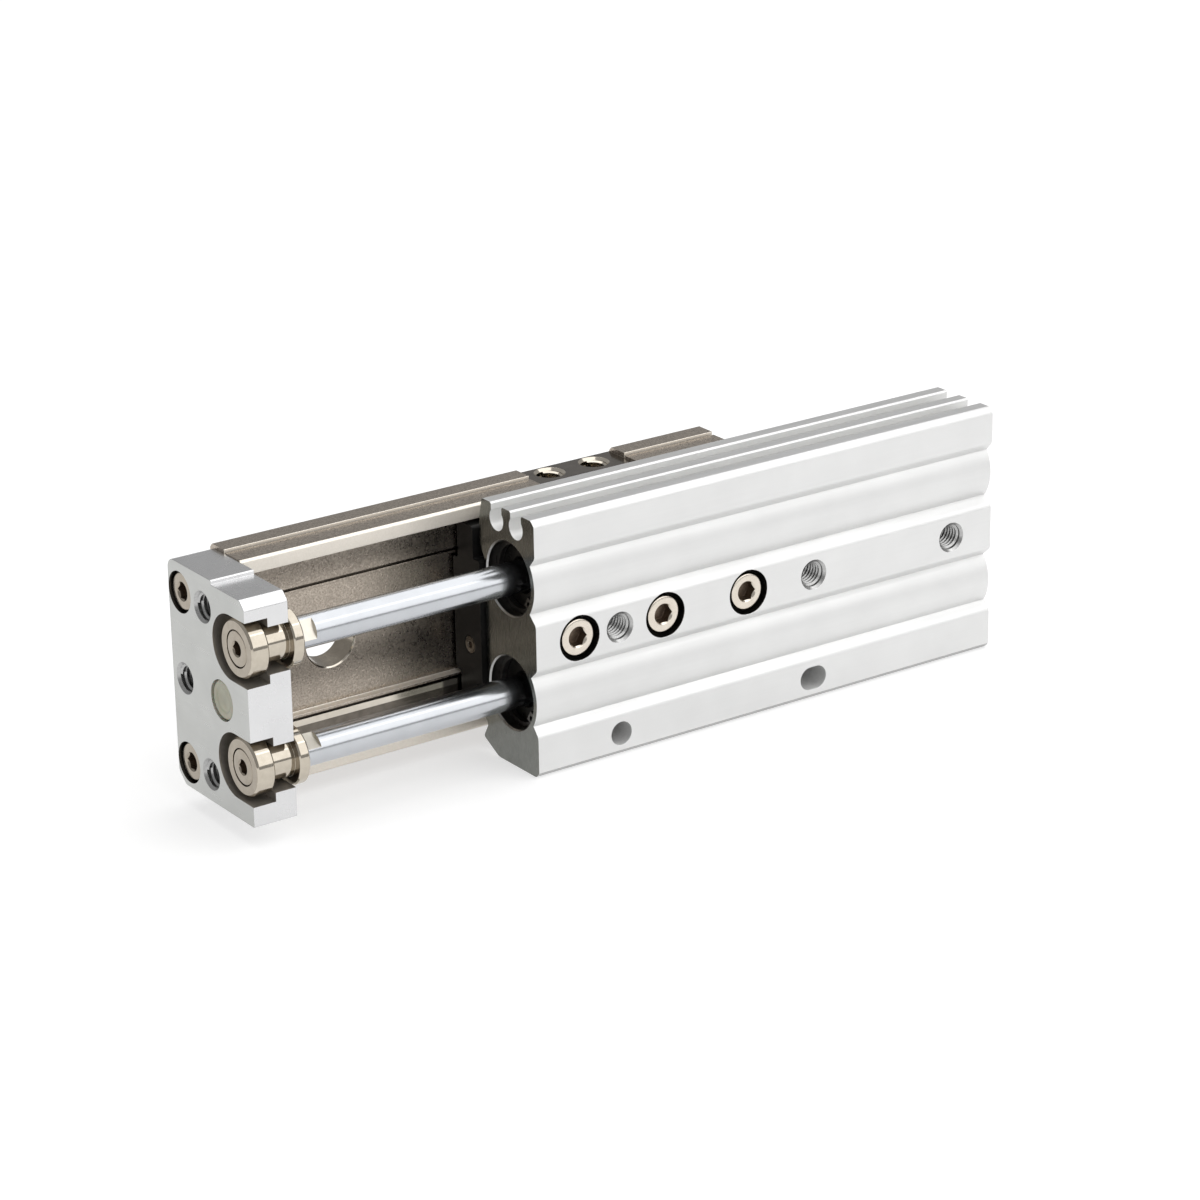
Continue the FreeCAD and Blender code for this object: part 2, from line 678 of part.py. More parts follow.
RING_PLAY = "(dim.ring_groove_width - dim.ring_thickness) / 2"
for name, height in CYLINDERS.items():
    gland_place = f"{BODY_FRONT} + {PLUG_FRONT}"
    gland = new_body(f"rod_gland_{name}", x=gland_place, y="dim.rod_depth", z=height)
    seal_stop = "dim.rod_seal_start + dim.rod_seal_width"
    turned(gland, plug_outside(GLAND_LENGTH) + [
        ("0", f"{ROD_HOLE} + dim.gland_lead"),
        ("dim.gland_lead", ROD_HOLE),
        ("dim.rod_seal_start", ROD_HOLE),
        ("dim.rod_seal_start", f"{ROD_HOLE} + dim.rod_seal_height"),
        (seal_stop, f"{ROD_HOLE} + dim.rod_seal_height"),
        (seal_stop, ROD_HOLE),
        (GLAND_LENGTH, ROD_HOLE),
    ])
    lip_seal(f"rod_seal_{name}", f"{gland_place} + dim.rod_seal_start + dim.seal_clearance", height,
             "(dim.rod_diameter / 2 + dim.seal_clearance)",
             f"({ROD_HOLE} + dim.rod_seal_height - dim.seal_clearance)",
             "(dim.rod_seal_width - 2 * dim.seal_clearance)")
    oring(f"gland_oring_{name}", gland_place, height, ALONG_X)
    retaining_ring(f"gland_ring_{name}", f"{BODY_FRONT} + {FRONT_RING} + {RING_PLAY}", height)

    cap_place = f"-{BODY_FRONT} - {PLUG_FRONT}"
    cap = new_body(f"head_cap_{name}", x=cap_place, y="dim.rod_depth", z=height, turn=BACK_TO_FRONT)
    turned(cap, plug_outside(CAP_LENGTH) + [
        ("0", "dim.cap_recess_diameter / 2"),
        ("dim.cap_recess_depth", "dim.cap_recess_diameter / 2"),
        ("dim.cap_recess_depth", "0"),
        (CAP_LENGTH, "0"),
    ])
    oring(f"cap_oring_{name}", cap_place, height, BACK_TO_FRONT)
    retaining_ring(f"cap_ring_{name}", f"{BODY_FRONT} + {REAR_RING} + {RING_PLAY}", height)

# Table: the channel section with its grinding reliefs, its raceways, then the holes
table = new_body("table", x=TABLE_FRONT)
LAND_TOP = "(dim.table_half + dim.land_rise)"
LAND_FOOT = "(dim.table_half - dim.land_relief)"
RELIEF = "(dim.shoulder_edge + dim.shoulder_relief_start)"
RELIEF_FLOOR = f"({SHOULDER} + dim.shoulder_relief_depth)"
half = [
    ("dim.table_outer", f"({LAND_TOP} - dim.table_edge_chamfer)"),
    ("dim.table_outer - dim.table_edge_chamfer", LAND_TOP),
    ("dim.land_start", LAND_TOP),
    ("dim.land_start", LAND_FOOT),
    ("dim.land_start - dim.land_relief", LAND_FOOT),
    ("dim.land_start - dim.land_relief", "dim.table_half"),
    ("dim.flange_end + dim.flange_edge_chamfer", "dim.table_half"),
    ("dim.flange_end", "(dim.table_half - dim.flange_edge_chamfer)"),
    ("dim.flange_end", FLANGE),
    (SHOULDER, FLANGE),
    (SHOULDER, f"({RELIEF} + dim.shoulder_relief_width)"),
    (RELIEF_FLOOR, f"({RELIEF} + dim.shoulder_relief_width)"),
    (RELIEF_FLOOR, RELIEF),
    (SHOULDER, RELIEF),
    (SHOULDER, "dim.shoulder_edge"),
    ("dim.floor_depth", "dim.shoulder_edge"),
]
section = new_sketch(table, "YZ_Plane")
outline(section, half + [(depth, f"-{height}") for depth, height in reversed(half)])
pad(table, section, "dim.table_length")
drill(table, "YZ_Plane", "0", rows, RACEWAY)
drill(table, "XZ_Plane", "-dim.floor_depth", [("dim.access_position", "0")], "dim.access_diameter",
      along_normal=False)
side_threads = [("dim.side_thread_first", "dim.side_thread_level"),
                ("dim.side_thread_first + dim.side_thread_spacing", "dim.side_thread_level")]
POCKET_FLOOR = "(dim.table_half - dim.side_pocket_depth)"
sketch = new_sketch(table, "XY_Plane", POCKET_FLOOR)
rectangle(sketch, "dim.side_pocket_start", "dim.side_pocket_start + dim.side_pocket_length",
          "dim.flange_end - dim.land_rise", "dim.table_outer + dim.land_rise")
pocket(table, sketch, "dim.side_pocket_depth + 2 * dim.land_rise")
drill(table, "XY_Plane", POCKET_FLOOR, side_threads, "dim.side_thread", "dim.side_thread_depth",
      along_normal=False)
break_mouths(table, "z", POCKET_FLOOR, "dim.side_thread")
work_pair = [("dim.work_first", "dim.work_row_half"), ("dim.work_first", "-dim.work_row_half")]
pair = drill(table, "XZ_Plane", "-dim.table_outer", work_pair, "dim.work_thread", "dim.work_thread_depth")
repeat(table, [pair], "X_Axis", "dim.work_spacing", "dim.work_count")
break_mouths(table, "y", "dim.table_outer", "dim.work_thread")
plate_screws = [("dim.plate_screw_depth", "dim.plate_screw_half"),
                ("dim.plate_screw_depth", "-dim.plate_screw_half")]
drill(table, "YZ_Plane", "0", plate_screws, TAPPED, "dim.plate_screw_reach + dim.screw_tip_gap")

# End plate with the open T-slots of the floating joints
plate = new_body("end_plate", x=TABLE_FRONT)
PLATE_FACE = "-dim.plate_thickness"
section = new_sketch(plate, "YZ_Plane", PLATE_FACE)
outline(section, [
    ("dim.plate_near", "dim.plate_top - dim.plate_step - dim.plate_near_chamfer"),
    ("dim.plate_near", "-dim.plate_bottom"),
    ("dim.plate_far - dim.plate_cut_depth", "-dim.plate_bottom"),
    ("dim.plate_far", "-dim.plate_bottom + dim.plate_cut_height"),
    ("dim.plate_far", "dim.plate_top - dim.plate_corner_radius"),
    ("dim.plate_far - dim.plate_corner_radius", "dim.plate_top"),
    ("dim.plate_step_at", "dim.plate_top"),
    ("dim.plate_step_at", "dim.plate_top - dim.plate_step"),
    ("dim.plate_near + dim.plate_near_chamfer", "dim.plate_top - dim.plate_step"),
], arcs={4: "dim.plate_corner_radius"})
pad(plate, section, "dim.plate_thickness")
SLOT_CENTRE = "(dim.slot_end - dim.slot_wide / 2)"
for width, depth in (("dim.slot_wide", "dim.slot_wide_depth"), ("dim.slot_neck", None)):
    sketch = new_sketch(plate, "YZ_Plane", PLATE_FACE)
    for height in CYLINDERS.values():
        rectangle(sketch, f"dim.plate_near - {width}", SLOT_CENTRE,
                  f"{height} - {width} / 2", f"{height} + {width} / 2")
    pocket(plate, sketch, depth)
    slot_ends = [(SLOT_CENTRE, height) for height in CYLINDERS.values()]
    drill(plate, "YZ_Plane", PLATE_FACE, slot_ends, width, depth)
drill(plate, "YZ_Plane", PLATE_FACE, plate_screws, "dim.plate_counterbore_diameter",
      "dim.plate_counterbore_depth")
drill(plate, "YZ_Plane", PLATE_FACE, plate_screws, "dim.screw_hole")
plate_threads = [("dim.plate_thread_near", "dim.plate_thread_half"),
                 ("dim.plate_thread_near", "-dim.plate_thread_half")]
drill(plate, "YZ_Plane", PLATE_FACE, plate_threads, "dim.plate_thread")
drill(plate, "YZ_Plane", PLATE_FACE, [("dim.plate_thread_far", "0")], "dim.plate_thread",
      "dim.plate_thread_far_depth")
break_mouths(plate, "x", PLATE_FACE, "dim.plate_thread")
BUMPER_HOLE = "dim.bumper_diameter + 2 * dim.bumper_clearance"
drill(plate, "YZ_Plane", PLATE_FACE, [("dim.bumper_centre", "0")], BUMPER_HOLE)

# Screws that hold the end plate on the end of the table
SCREW_SEAT = f"{TABLE_FRONT} - dim.plate_thickness + dim.plate_counterbore_depth"
end_screws = new_body("end_plate_screws", x=SCREW_SEAT, y="dim.plate_screw_depth",
                      z="-dim.plate_screw_half")
features = socket_screw(end_screws, "dim.screw_head_diameter",
                        "(dim.plate_counterbore_depth - dim.plate_screw_sink)", "dim.screw_thread",
                        "(dim.plate_thickness - dim.plate_counterbore_depth + dim.plate_screw_reach)",
                        "dim.screw_socket", "dim.screw_socket_depth")
repeat(end_screws, features, "Z_Axis", "2 * dim.plate_screw_half", "2")

# Bumper plug whose nose meets the body at the end of the return stroke
bumper = new_body("end_bumper", x=TABLE_FRONT, y="dim.bumper_centre")
BUMPER_FRONT = "dim.bumper_recess - dim.plate_thickness"
turned(bumper, [
    (BUMPER_FRONT, "0"),
    ("dim.bumper_protrusion", "0"),
    ("dim.bumper_protrusion", "dim.bumper_nose / 2 - dim.bumper_edge"),
    ("dim.bumper_protrusion - dim.bumper_edge", "dim.bumper_nose / 2"),
    ("0", "dim.bumper_nose / 2"),
    ("0", "dim.bumper_diameter / 2"),
    (BUMPER_FRONT, "dim.bumper_diameter / 2"),
])

# Floating joints, rods and pistons, drawn from the inner face of the end plate
HEAD_BACK = "(dim.slot_wide_depth - dim.plate_thickness - dim.spool_play)"
HEAD_FRONT = f"({HEAD_BACK} - dim.spool_head_length)"
HEAD_SEAT = f"({HEAD_FRONT} + dim.joint_head_height)"
FLANGE_FRONT = "dim.spool_play"
ROD_FRONT = "(dim.spool_play + dim.spool_flange_length)"
# The rods reach as far as the stroke, or as the pose drawn here where that lies further out
REACH = "max(dim.stroke; dim.table_pulled_out - dim.retract_gap)"
BUMPER_START = f"(dim.gland_seat_length + {REACH} + dim.retract_gap + dim.stop_clearance)"
PISTON_FRONT = f"({BUMPER_START} + dim.piston_bumper_length)"
PISTON_BACK = f"({PISTON_FRONT} + dim.piston_length)"
JOINT_HOLE = "(dim.joint_thread / 2 + dim.joint_thread_gap)"
PISTON_RADIUS = "dim.piston_diameter / 2"
SEAL_FLOOR = f"({PISTON_RADIUS} - dim.piston_seal_height)"
MAGNET_FLOOR = f"({PISTON_RADIUS} - dim.magnet_height)"
TAIL_HOLE = "(dim.rod_tail / 2 + dim.rod_clearance)"
for name, height in CYLINDERS.items():
    spool = new_body(f"joint_spool_{name}", x=TABLE_FRONT, y="dim.rod_depth", z=height)
    edge = "dim.spool_edge"
    turned(spool, [
        (HEAD_FRONT, "dim.joint_head_seat / 2"),
        (HEAD_SEAT, "dim.joint_head_seat / 2"),
        (HEAD_SEAT, JOINT_HOLE),
        (ROD_FRONT, JOINT_HOLE),
        (ROD_FRONT, f"dim.spool_flange / 2 - {edge}"),
        (f"{ROD_FRONT} - {edge}", "dim.spool_flange / 2"),
        (f"{FLANGE_FRONT} + {edge}", "dim.spool_flange / 2"),
        (FLANGE_FRONT, f"dim.spool_flange / 2 - {edge}"),
        (FLANGE_FRONT, "dim.spool_neck / 2"),
        (HEAD_BACK, "dim.spool_neck / 2"),
        (HEAD_BACK, f"dim.spool_head / 2 - {edge}"),
        (f"{HEAD_BACK} - {edge}", "dim.spool_head / 2"),
        (f"{HEAD_FRONT} + {edge}", "dim.spool_head / 2"),
        (HEAD_FRONT, f"dim.spool_head / 2 - {edge}"),
    ])

    rod = new_body(f"rod_{name}", x=TABLE_FRONT, y="dim.rod_depth", z=height, turn=FLAT_TURNS[name])
    rod_hole_end = f"({ROD_FRONT} + dim.joint_thread_reach + dim.screw_tip_gap)"
    turned(rod, [
        (ROD_FRONT, JOINT_HOLE),
        (rod_hole_end, JOINT_HOLE),
        (rod_hole_end, "0"),
        (PISTON_BACK, "0"),
        (PISTON_BACK, "dim.rod_tail / 2"),
        (PISTON_FRONT, "dim.rod_tail / 2"),
        (PISTON_FRONT, "dim.rod_diameter / 2"),
        (ROD_FRONT, "dim.rod_diameter / 2"),
    ])
    sketch = new_sketch(rod, "XZ_Plane", "dim.rod_diameter")
    flat_end = f"{ROD_FRONT} + dim.rod_flat_length"
    rectangle(sketch, ROD_FRONT, flat_end, "dim.rod_flats / 2", "dim.rod_diameter")
    rectangle(sketch, ROD_FRONT, flat_end, "-dim.rod_diameter", "-dim.rod_flats / 2")
    pocket(rod, sketch, along_normal=False)

    piston_place = f"{TABLE_FRONT} + {PISTON_FRONT}"
    piston = new_body(f"piston_{name}", x=piston_place, y="dim.rod_depth", z=height)
    seal_stop = "dim.piston_seal_start + dim.piston_seal_width"
    magnet_stop = "dim.magnet_start + dim.magnet_width"
    turned(piston, [
        ("0", TAIL_HOLE),
        ("dim.piston_length", TAIL_HOLE),
        ("dim.piston_length", f"{PISTON_RADIUS} - dim.piston_edge"),
        ("dim.piston_length - dim.piston_edge", PISTON_RADIUS),
        (magnet_stop, PISTON_RADIUS),
        (magnet_stop, MAGNET_FLOOR),
        ("dim.magnet_start", MAGNET_FLOOR),
        ("dim.magnet_start", PISTON_RADIUS),
        (seal_stop, PISTON_RADIUS),
        (seal_stop, SEAL_FLOOR),
        ("dim.piston_seal_start", SEAL_FLOOR),
        ("dim.piston_seal_start", PISTON_RADIUS),
        ("dim.piston_edge", PISTON_RADIUS),
        ("0", f"{PISTON_RADIUS} - dim.piston_edge"),
    ])
    lip_seal(f"piston_seal_{name}", f"{piston_place} + dim.piston_seal_start + dim.seal_clearance", height,
             f"({SEAL_FLOOR} + dim.seal_clearance)", "(dim.bore_diameter / 2 - dim.seal_clearance)",
             "(dim.piston_seal_width - 2 * dim.seal_clearance)")
    magnet = new_body(f"piston_magnet_{name}", x=f"{piston_place} + dim.magnet_start",
                      y="dim.rod_depth", z=height)
    sketch = new_sketch(magnet, "XY_Plane")
    rectangle(sketch, "dim.seal_clearance", "dim.magnet_width - dim.seal_clearance",
              f"{MAGNET_FLOOR} + dim.seal_clearance", f"{PISTON_RADIUS} - dim.magnet_sink")
    revolve(magnet, sketch)
    stop = new_body(f"piston_bumper_{name}", x=f"{TABLE_FRONT} + {BUMPER_START}", y="dim.rod_depth", z=height)
    sketch = new_sketch(stop, "XY_Plane")
    rectangle(sketch, "0", "dim.piston_bumper_length", ROD_HOLE, "dim.piston_bumper_diameter / 2")
    revolve(stop, sketch)

# Screws that clamp the spools to the rods
JOINT_HEAD = "(dim.joint_head_seat - 2 * dim.joint_head_gap)"
joint_screws = new_body("joint_screws", x=f"{TABLE_FRONT} + {HEAD_SEAT}", y="dim.rod_depth",
                        z=CYLINDERS["lower"])
features = socket_screw(joint_screws, JOINT_HEAD, "dim.joint_head_height", "dim.joint_thread",
                        f"({ROD_FRONT} - {HEAD_SEAT} + dim.joint_thread_reach)",
                        "dim.joint_socket", "dim.joint_socket_depth")
repeat(joint_screws, features, "Z_Axis", "dim.rod_pitch", "2")

# Every object has to be sound before anything is written
doc.recompute()
failed = [part.Name for part in doc.Objects if "Invalid" in part.State or "Error" in part.State]
if failed:
    raise RuntimeError(f"failed objects: {failed}")
pieces = [part for part in doc.Objects
          if part.TypeId in ("PartDesign::Body", "Part::Compound") and part not in screws]
for piece in pieces:
    if piece.Shape.isNull() or not piece.Shape.isValid():
        raise RuntimeError(f"{piece.Label} is not a sound shape")
for piece in pieces:
    piece.Shape.exportStep(os.path.join("parts", f"{piece.Label}.step"))
print(len(pieces), "pieces written")
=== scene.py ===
import json
import math

import bmesh
import bpy
from mathutils import Matrix, Vector


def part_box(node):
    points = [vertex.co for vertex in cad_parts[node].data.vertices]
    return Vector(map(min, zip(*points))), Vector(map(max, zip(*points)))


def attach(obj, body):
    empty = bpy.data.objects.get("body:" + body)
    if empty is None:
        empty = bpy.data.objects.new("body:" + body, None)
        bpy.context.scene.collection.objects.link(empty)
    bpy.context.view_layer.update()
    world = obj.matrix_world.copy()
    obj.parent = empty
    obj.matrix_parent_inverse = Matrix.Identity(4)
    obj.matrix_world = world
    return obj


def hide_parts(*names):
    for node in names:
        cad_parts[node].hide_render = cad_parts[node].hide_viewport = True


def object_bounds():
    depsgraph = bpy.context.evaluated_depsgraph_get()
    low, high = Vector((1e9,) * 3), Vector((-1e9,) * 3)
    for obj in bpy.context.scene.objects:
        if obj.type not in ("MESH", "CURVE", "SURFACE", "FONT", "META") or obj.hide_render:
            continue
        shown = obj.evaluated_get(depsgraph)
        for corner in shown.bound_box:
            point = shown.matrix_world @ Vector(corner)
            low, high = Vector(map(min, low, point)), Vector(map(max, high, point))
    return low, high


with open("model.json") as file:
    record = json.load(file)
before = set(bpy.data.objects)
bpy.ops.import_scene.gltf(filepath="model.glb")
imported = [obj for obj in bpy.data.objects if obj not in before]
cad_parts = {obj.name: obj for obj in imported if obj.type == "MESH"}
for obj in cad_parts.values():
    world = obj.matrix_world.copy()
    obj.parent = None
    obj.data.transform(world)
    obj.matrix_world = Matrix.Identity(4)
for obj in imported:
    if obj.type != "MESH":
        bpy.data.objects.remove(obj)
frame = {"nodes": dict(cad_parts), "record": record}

cad_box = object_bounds()

# Body: the block that holds both cylinders, an aluminium extrusion anodised to a satin silver.
# Its section is pulled along X; the bores, the switch grooves, the screw seats, the pin holes and the ports
# are then cut, and all edges are broken as after deburring.
mm = 0.001
body_low, body_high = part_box("body")
body_length = body_high.x - body_low.x
rod_depth = 8.6 * mm
rod_half_pitch = 11.2 * mm
cylinder_heights = {"upper": rod_half_pitch, "lower": -rod_half_pitch}


def shader_of(finish):
    return finish.node_tree.nodes["Principled BSDF"]


def start_finish(name, metallic):
    finish = bpy.data.materials.new(name)
    finish.use_nodes = True
    shader_of(finish).inputs["Metallic"].default_value = metallic
    return finish


# Noise in the piece's own coordinates, drawn out along an axis where the stretch is small
def grain(finish, size, stretch, detail=3.0):
    tree = finish.node_tree
    place = tree.nodes.new("ShaderNodeTexCoord")
    mapping = tree.nodes.new("ShaderNodeMapping")
    mapping.inputs["Scale"].default_value = stretch
    noise = tree.nodes.new("ShaderNodeTexNoise")
    noise.inputs["Scale"].default_value = 1 / size
    noise.inputs["Detail"].default_value = detail
    tree.links.new(place.outputs["Object"], mapping.inputs["Vector"])
    tree.links.new(mapping.outputs["Vector"], noise.inputs["Vector"])
    return noise.outputs["Fac"]


no_marks = (1, 1, 1)
pulled_marks = (0.02, 1, 1)
turned_marks = (1, 0.1, 0.1)


def colour_between(finish, size, dark, light, spread=0.25, detail=3.0):
    tree = finish.node_tree
    ramp = tree.nodes.new("ShaderNodeValToRGB")
    ramp.color_ramp.elements[0].position = 0.5 - spread
    ramp.color_ramp.elements[0].color = (*dark, 1)
    ramp.color_ramp.elements[1].position = 0.5 + spread
    ramp.color_ramp.elements[1].color = (*light, 1)
    tree.links.new(grain(finish, size, no_marks, detail), ramp.inputs["Fac"])
    tree.links.new(ramp.outputs["Color"], shader_of(finish).inputs["Base Color"])


def roughness_between(finish, size, smooth, rough, marks=no_marks):
    tree = finish.node_tree
    spread = tree.nodes.new("ShaderNodeMapRange")
    spread.inputs["From Min"].default_value = 0.3
    spread.inputs["From Max"].default_value = 0.7
    spread.inputs["To Min"].default_value = smooth
    spread.inputs["To Max"].default_value = rough
    tree.links.new(grain(finish, size, marks), spread.inputs["Value"])
    tree.links.new(spread.outputs["Result"], shader_of(finish).inputs["Roughness"])


def relief(finish, size, height, strength=1.0, marks=no_marks):
    tree = finish.node_tree
    bump = tree.nodes.new("ShaderNodeBump")
    bump.inputs["Distance"].default_value = height
    bump.inputs["Strength"].default_value = strength
    tree.links.new(grain(finish, size, marks), bump.inputs["Height"])
    tree.links.new(bump.outputs["Normal"], shader_of(finish).inputs["Normal"])


anodised_dark = (0.74, 0.74, 0.735)
anodised_light = (0.78, 0.78, 0.775)
satin_silver = start_finish("satin_silver", metallic=1.0)
colour_between(satin_silver, 9 * mm, anodised_dark, anodised_light)
roughness_between(satin_silver, 0.5 * mm, 0.45, 0.52, pulled_marks)
relief(satin_silver, 0.18 * mm, 0.004 * mm)

drawn_silver = start_finish("drawn_silver", metallic=1.0)
colour_between(drawn_silver, 9 * mm, anodised_dark, anodised_light)
roughness_between(drawn_silver, 0.5 * mm, 0.33, 0.40, pulled_marks)
relief(drawn_silver, 0.3 * mm, 0.0015 * mm, marks=pulled_marks)

groove_silver = start_finish("groove_silver", metallic=0.3)
colour_between(groove_silver, 9 * mm, (0.80, 0.80, 0.79), (0.85, 0.85, 0.84))
roughness_between(groove_silver, 0.5 * mm, 0.40, 0.48, pulled_marks)

# Walls of the bores and of the screw counterbores, near black: painted shade in these hollows.
bore_shade = start_finish("bore_shade", metallic=1.0)
colour_between(bore_shade, 2 * mm, (0.08, 0.077, 0.072), (0.13, 0.126, 0.118))
roughness_between(bore_shade, 0.2 * mm, 0.28, 0.42, turned_marks)

drilled_wall = start_finish("drilled_wall", metallic=0.1)
colour_between(drilled_wall, 0.6 * mm, (0.64, 0.64, 0.635), (0.72, 0.72, 0.715))
roughness_between(drilled_wall, 0.15 * mm, 0.45, 0.65)

# Ends of the body: milled, and coloured far darker than the anodised sides as painted shade.
shaded_milled_end = start_finish("shaded_milled_end", metallic=1.0)
colour_between(shaded_milled_end, 1.5 * mm, (0.19, 0.195, 0.18), (0.225, 0.23, 0.215))
roughness_between(shaded_milled_end, 0.25 * mm, 0.22, 0.29, marks=(1, 1, 0.06))

# Bare cut aluminium of the taps, ports and bore mouths; on the body's bottom chamfer its darker colour is
# painted shade.
cut_aluminium_and_shade = start_finish("cut_aluminium_and_shade", metallic=1.0)
colour_between(cut_aluminium_and_shade, 0.4 * mm, (0.38, 0.38, 0.375), (0.50, 0.50, 0.495))
roughness_between(cut_aluminium_and_shade, 0.1 * mm, 0.24, 0.36)


# Corners of a section on an arc, each of depth, height and no rounding
def arc(centre, radius, first, last, steps):
    turns = [math.radians(first + (last - first) * step / steps) for step in range(steps + 1)]
    return [(centre[0] + radius * math.cos(turn), centre[1] + radius * math.sin(turn), 0) for turn in turns]


def mirrored(corners):
    return [(depth, -height, rounding) for depth, height, rounding in reversed(corners)]


chamfer = 1.0 * mm
bulge = arc((rod_depth, rod_half_pitch), 8.3 * mm, 148, 217, 18)
upper_half = [
    (chamfer, body_high.z, 0.4 * mm),
    (0, body_high.z - chamfer, 0.4 * mm),
    (0, 17.4 * mm, 0.5 * mm),
    *bulge,
    (0, 4.4 * mm, 0.5 * mm),
]
lower_half = [
    *mirrored(upper_half[2:]),
    (0, body_low.z + chamfer, 0.4 * mm),
    (chamfer, body_low.z, 0.4 * mm),
    (13.3 * mm, body_low.z, 0.5 * mm),
    (18.2 * mm, -22.9 * mm, 0.5 * mm),
    (16.6 * mm, -20.1 * mm, 0.5 * mm),
]
seat_edge = [(17.8 * mm, -15.3 * mm, 0.4 * mm), (16.4 * mm, -13.0 * mm, 0.3 * mm)]
far_side = [
    (17.8 * mm, -18.6 * mm, 0.4 * mm),
    *seat_edge,
    *mirrored(seat_edge),
    (17.8 * mm, 20.6 * mm, 0.4 * mm),
    (16.8 * mm, body_high.z, 0.3 * mm),
]


# A bar along X from a section of depth, height and the rounding of each corner
def pulled_bar(corners, start, stop):
    bar = bmesh.new()
    ring = [bar.verts.new((start, depth, height)) for depth, height, rounding in corners]
    bar.faces.new(ring)
    for corner, (depth, height, rounding) in zip(ring, corners):
        if rounding:
            bmesh.ops.bevel(bar, geom=[corner], offset=rounding, segments=4, profile=0.5,
                            affect="VERTICES", material=-1)
    pulled = bmesh.ops.extrude_face_region(bar, geom=list(bar.faces))
    far_end = [part for part in pulled["geom"] if isinstance(part, bmesh.types.BMVert)]
    bmesh.ops.translate(bar, verts=far_end, vec=(stop - start, 0, 0))
    bmesh.ops.recalc_face_normals(bar, faces=bar.faces)
    return bar


def new_piece(name, shape, *finishes):
    mesh = bpy.data.meshes.new(name)
    shape.to_mesh(mesh)
    shape.free()
    piece = bpy.data.objects.new(name, mesh)
    bpy.context.scene.collection.objects.link(piece)
    for finish in finishes:
        mesh.materials.append(finish)
    return piece


body_bar = pulled_bar(upper_half + lower_half + far_side, body_low.x, body_high.x)
body = new_piece("cylinder_body", body_bar, satin_silver, bore_shade, drilled_wall, shaded_milled_end, cut_aluminium_and_shade,
                 drawn_silver, groove_silver)


def finish_of(piece, face):
    return piece.data.materials[face.material_index]


def give_finish(piece, face, finish):
    face.material_index = piece.data.materials.find(finish.name)


square_on = 0.9
lower_chamfer_top = body_low.z + 1.1 * mm
for face in body.data.polygons:
    # Faces square to X take the darker end colour, painted shade.
    if abs(face.normal.x) > square_on:
        give_finish(body, face, shaded_milled_end)
    if face.normal.z > square_on:
        give_finish(body, face, drawn_silver)
    # The bottom chamfer takes the darker cut colour, painted shade along the lower edge.
    if face.normal.y < -0.2 and face.normal.z < -0.3 and face.center.z < lower_chamfer_top:
        give_finish(body, face, cut_aluminium_and_shade)


# A turned shape about X from pairs of place along the axis and radius
def turned(profile, ring=False, steps=72):
    lathe = bmesh.new()
    points = [lathe.verts.new((along, radius, 0)) for along, radius in profile]
    lines = [lathe.edges.new(pair) for pair in zip(points, points[1:])]
    if ring:
        lines.append(lathe.edges.new((points[-1], points[0])))
    bmesh.ops.spin(lathe, geom=points + lines, cent=(0, 0, 0), axis=(1, 0, 0), angle=math.tau,
                   steps=steps, use_merge=True)
    bmesh.ops.remove_doubles(lathe, verts=lathe.verts, dist=1e-7)
    bmesh.ops.recalc_face_normals(lathe, faces=lathe.faces)
    return lathe


from_front = (1, 0, 0)
from_rear = (-1, 0, 0)
from_near = (0, 1, 0)
from_below = (0, 0, 1)


# A shape made along X, set down at a place and turned to point inwards from a side
def placed(shape, place, pointing=from_front):
    turn = Vector(from_front).rotation_difference(Vector(pointing)).to_matrix().to_4x4()
    bmesh.ops.transform(shape, matrix=Matrix.Translation(place) @ turn, verts=shape.verts)
    return shape


# Cuts a shape out of a piece and leaves a finish, the piece's first if none is named, on the cut faces
def cut_away(piece, shape, finish=None):
    for face in shape.faces:
        give_finish(piece, face, finish or piece.data.materials[0])
    tool = new_piece("cutter", shape, *piece.data.materials)
    cut = piece.modifiers.new("cut", "BOOLEAN")
    cut.object = tool
    cut.operation = "DIFFERENCE"
    cut.solver = "EXACT"
    settled = piece.evaluated_get(bpy.context.evaluated_depsgraph_get())
    mesh = bpy.data.meshes.new_from_object(settled)
    piece.modifiers.remove(cut)
    piece.data = mesh
    bpy.data.objects.remove(tool)


past_face = 0.5 * mm
seat_radius = 7.0 * mm
bore_radius = 6.0 * mm
front_seat_end = 11.7 * mm
rear_seat_end = 8.7 * mm
ring_groove = [(2.0 * mm, seat_radius), (2.0 * mm, 7.3 * mm), (3.1 * mm, 7.3 * mm), (3.1 * mm, seat_radius)]
mouth = [(-past_face, 0), (-past_face, seat_radius)]
mouth_chamfer = [(-past_face, 0), (-past_face, 7.8 * mm), (0.3 * mm, seat_radius), (0.3 * mm, 0)]
front_seat = [*mouth, *ring_groove, (front_seat_end, seat_radius), (front_seat_end, bore_radius)]
rear_seat = [*mouth, *ring_groove, (rear_seat_end, seat_radius), (rear_seat_end, bore_radius)]
bore = front_seat + [(body_length - along, radius) for along, radius in reversed(rear_seat)]
for height in cylinder_heights.values():
    front_mouth = (body_low.x, rod_depth, height)
    rear_mouth = (body_high.x, rod_depth, height)
    # The bore walls take the near-black colour, painted shade.
    cut_away(body, placed(turned(bore), front_mouth), bore_shade)
    cut_away(body, placed(turned(mouth_chamfer), front_mouth), cut_aluminium_and_shade)
    cut_away(body, placed(turned(mouth_chamfer), rear_mouth, from_rear), cut_aluminium_and_shade)

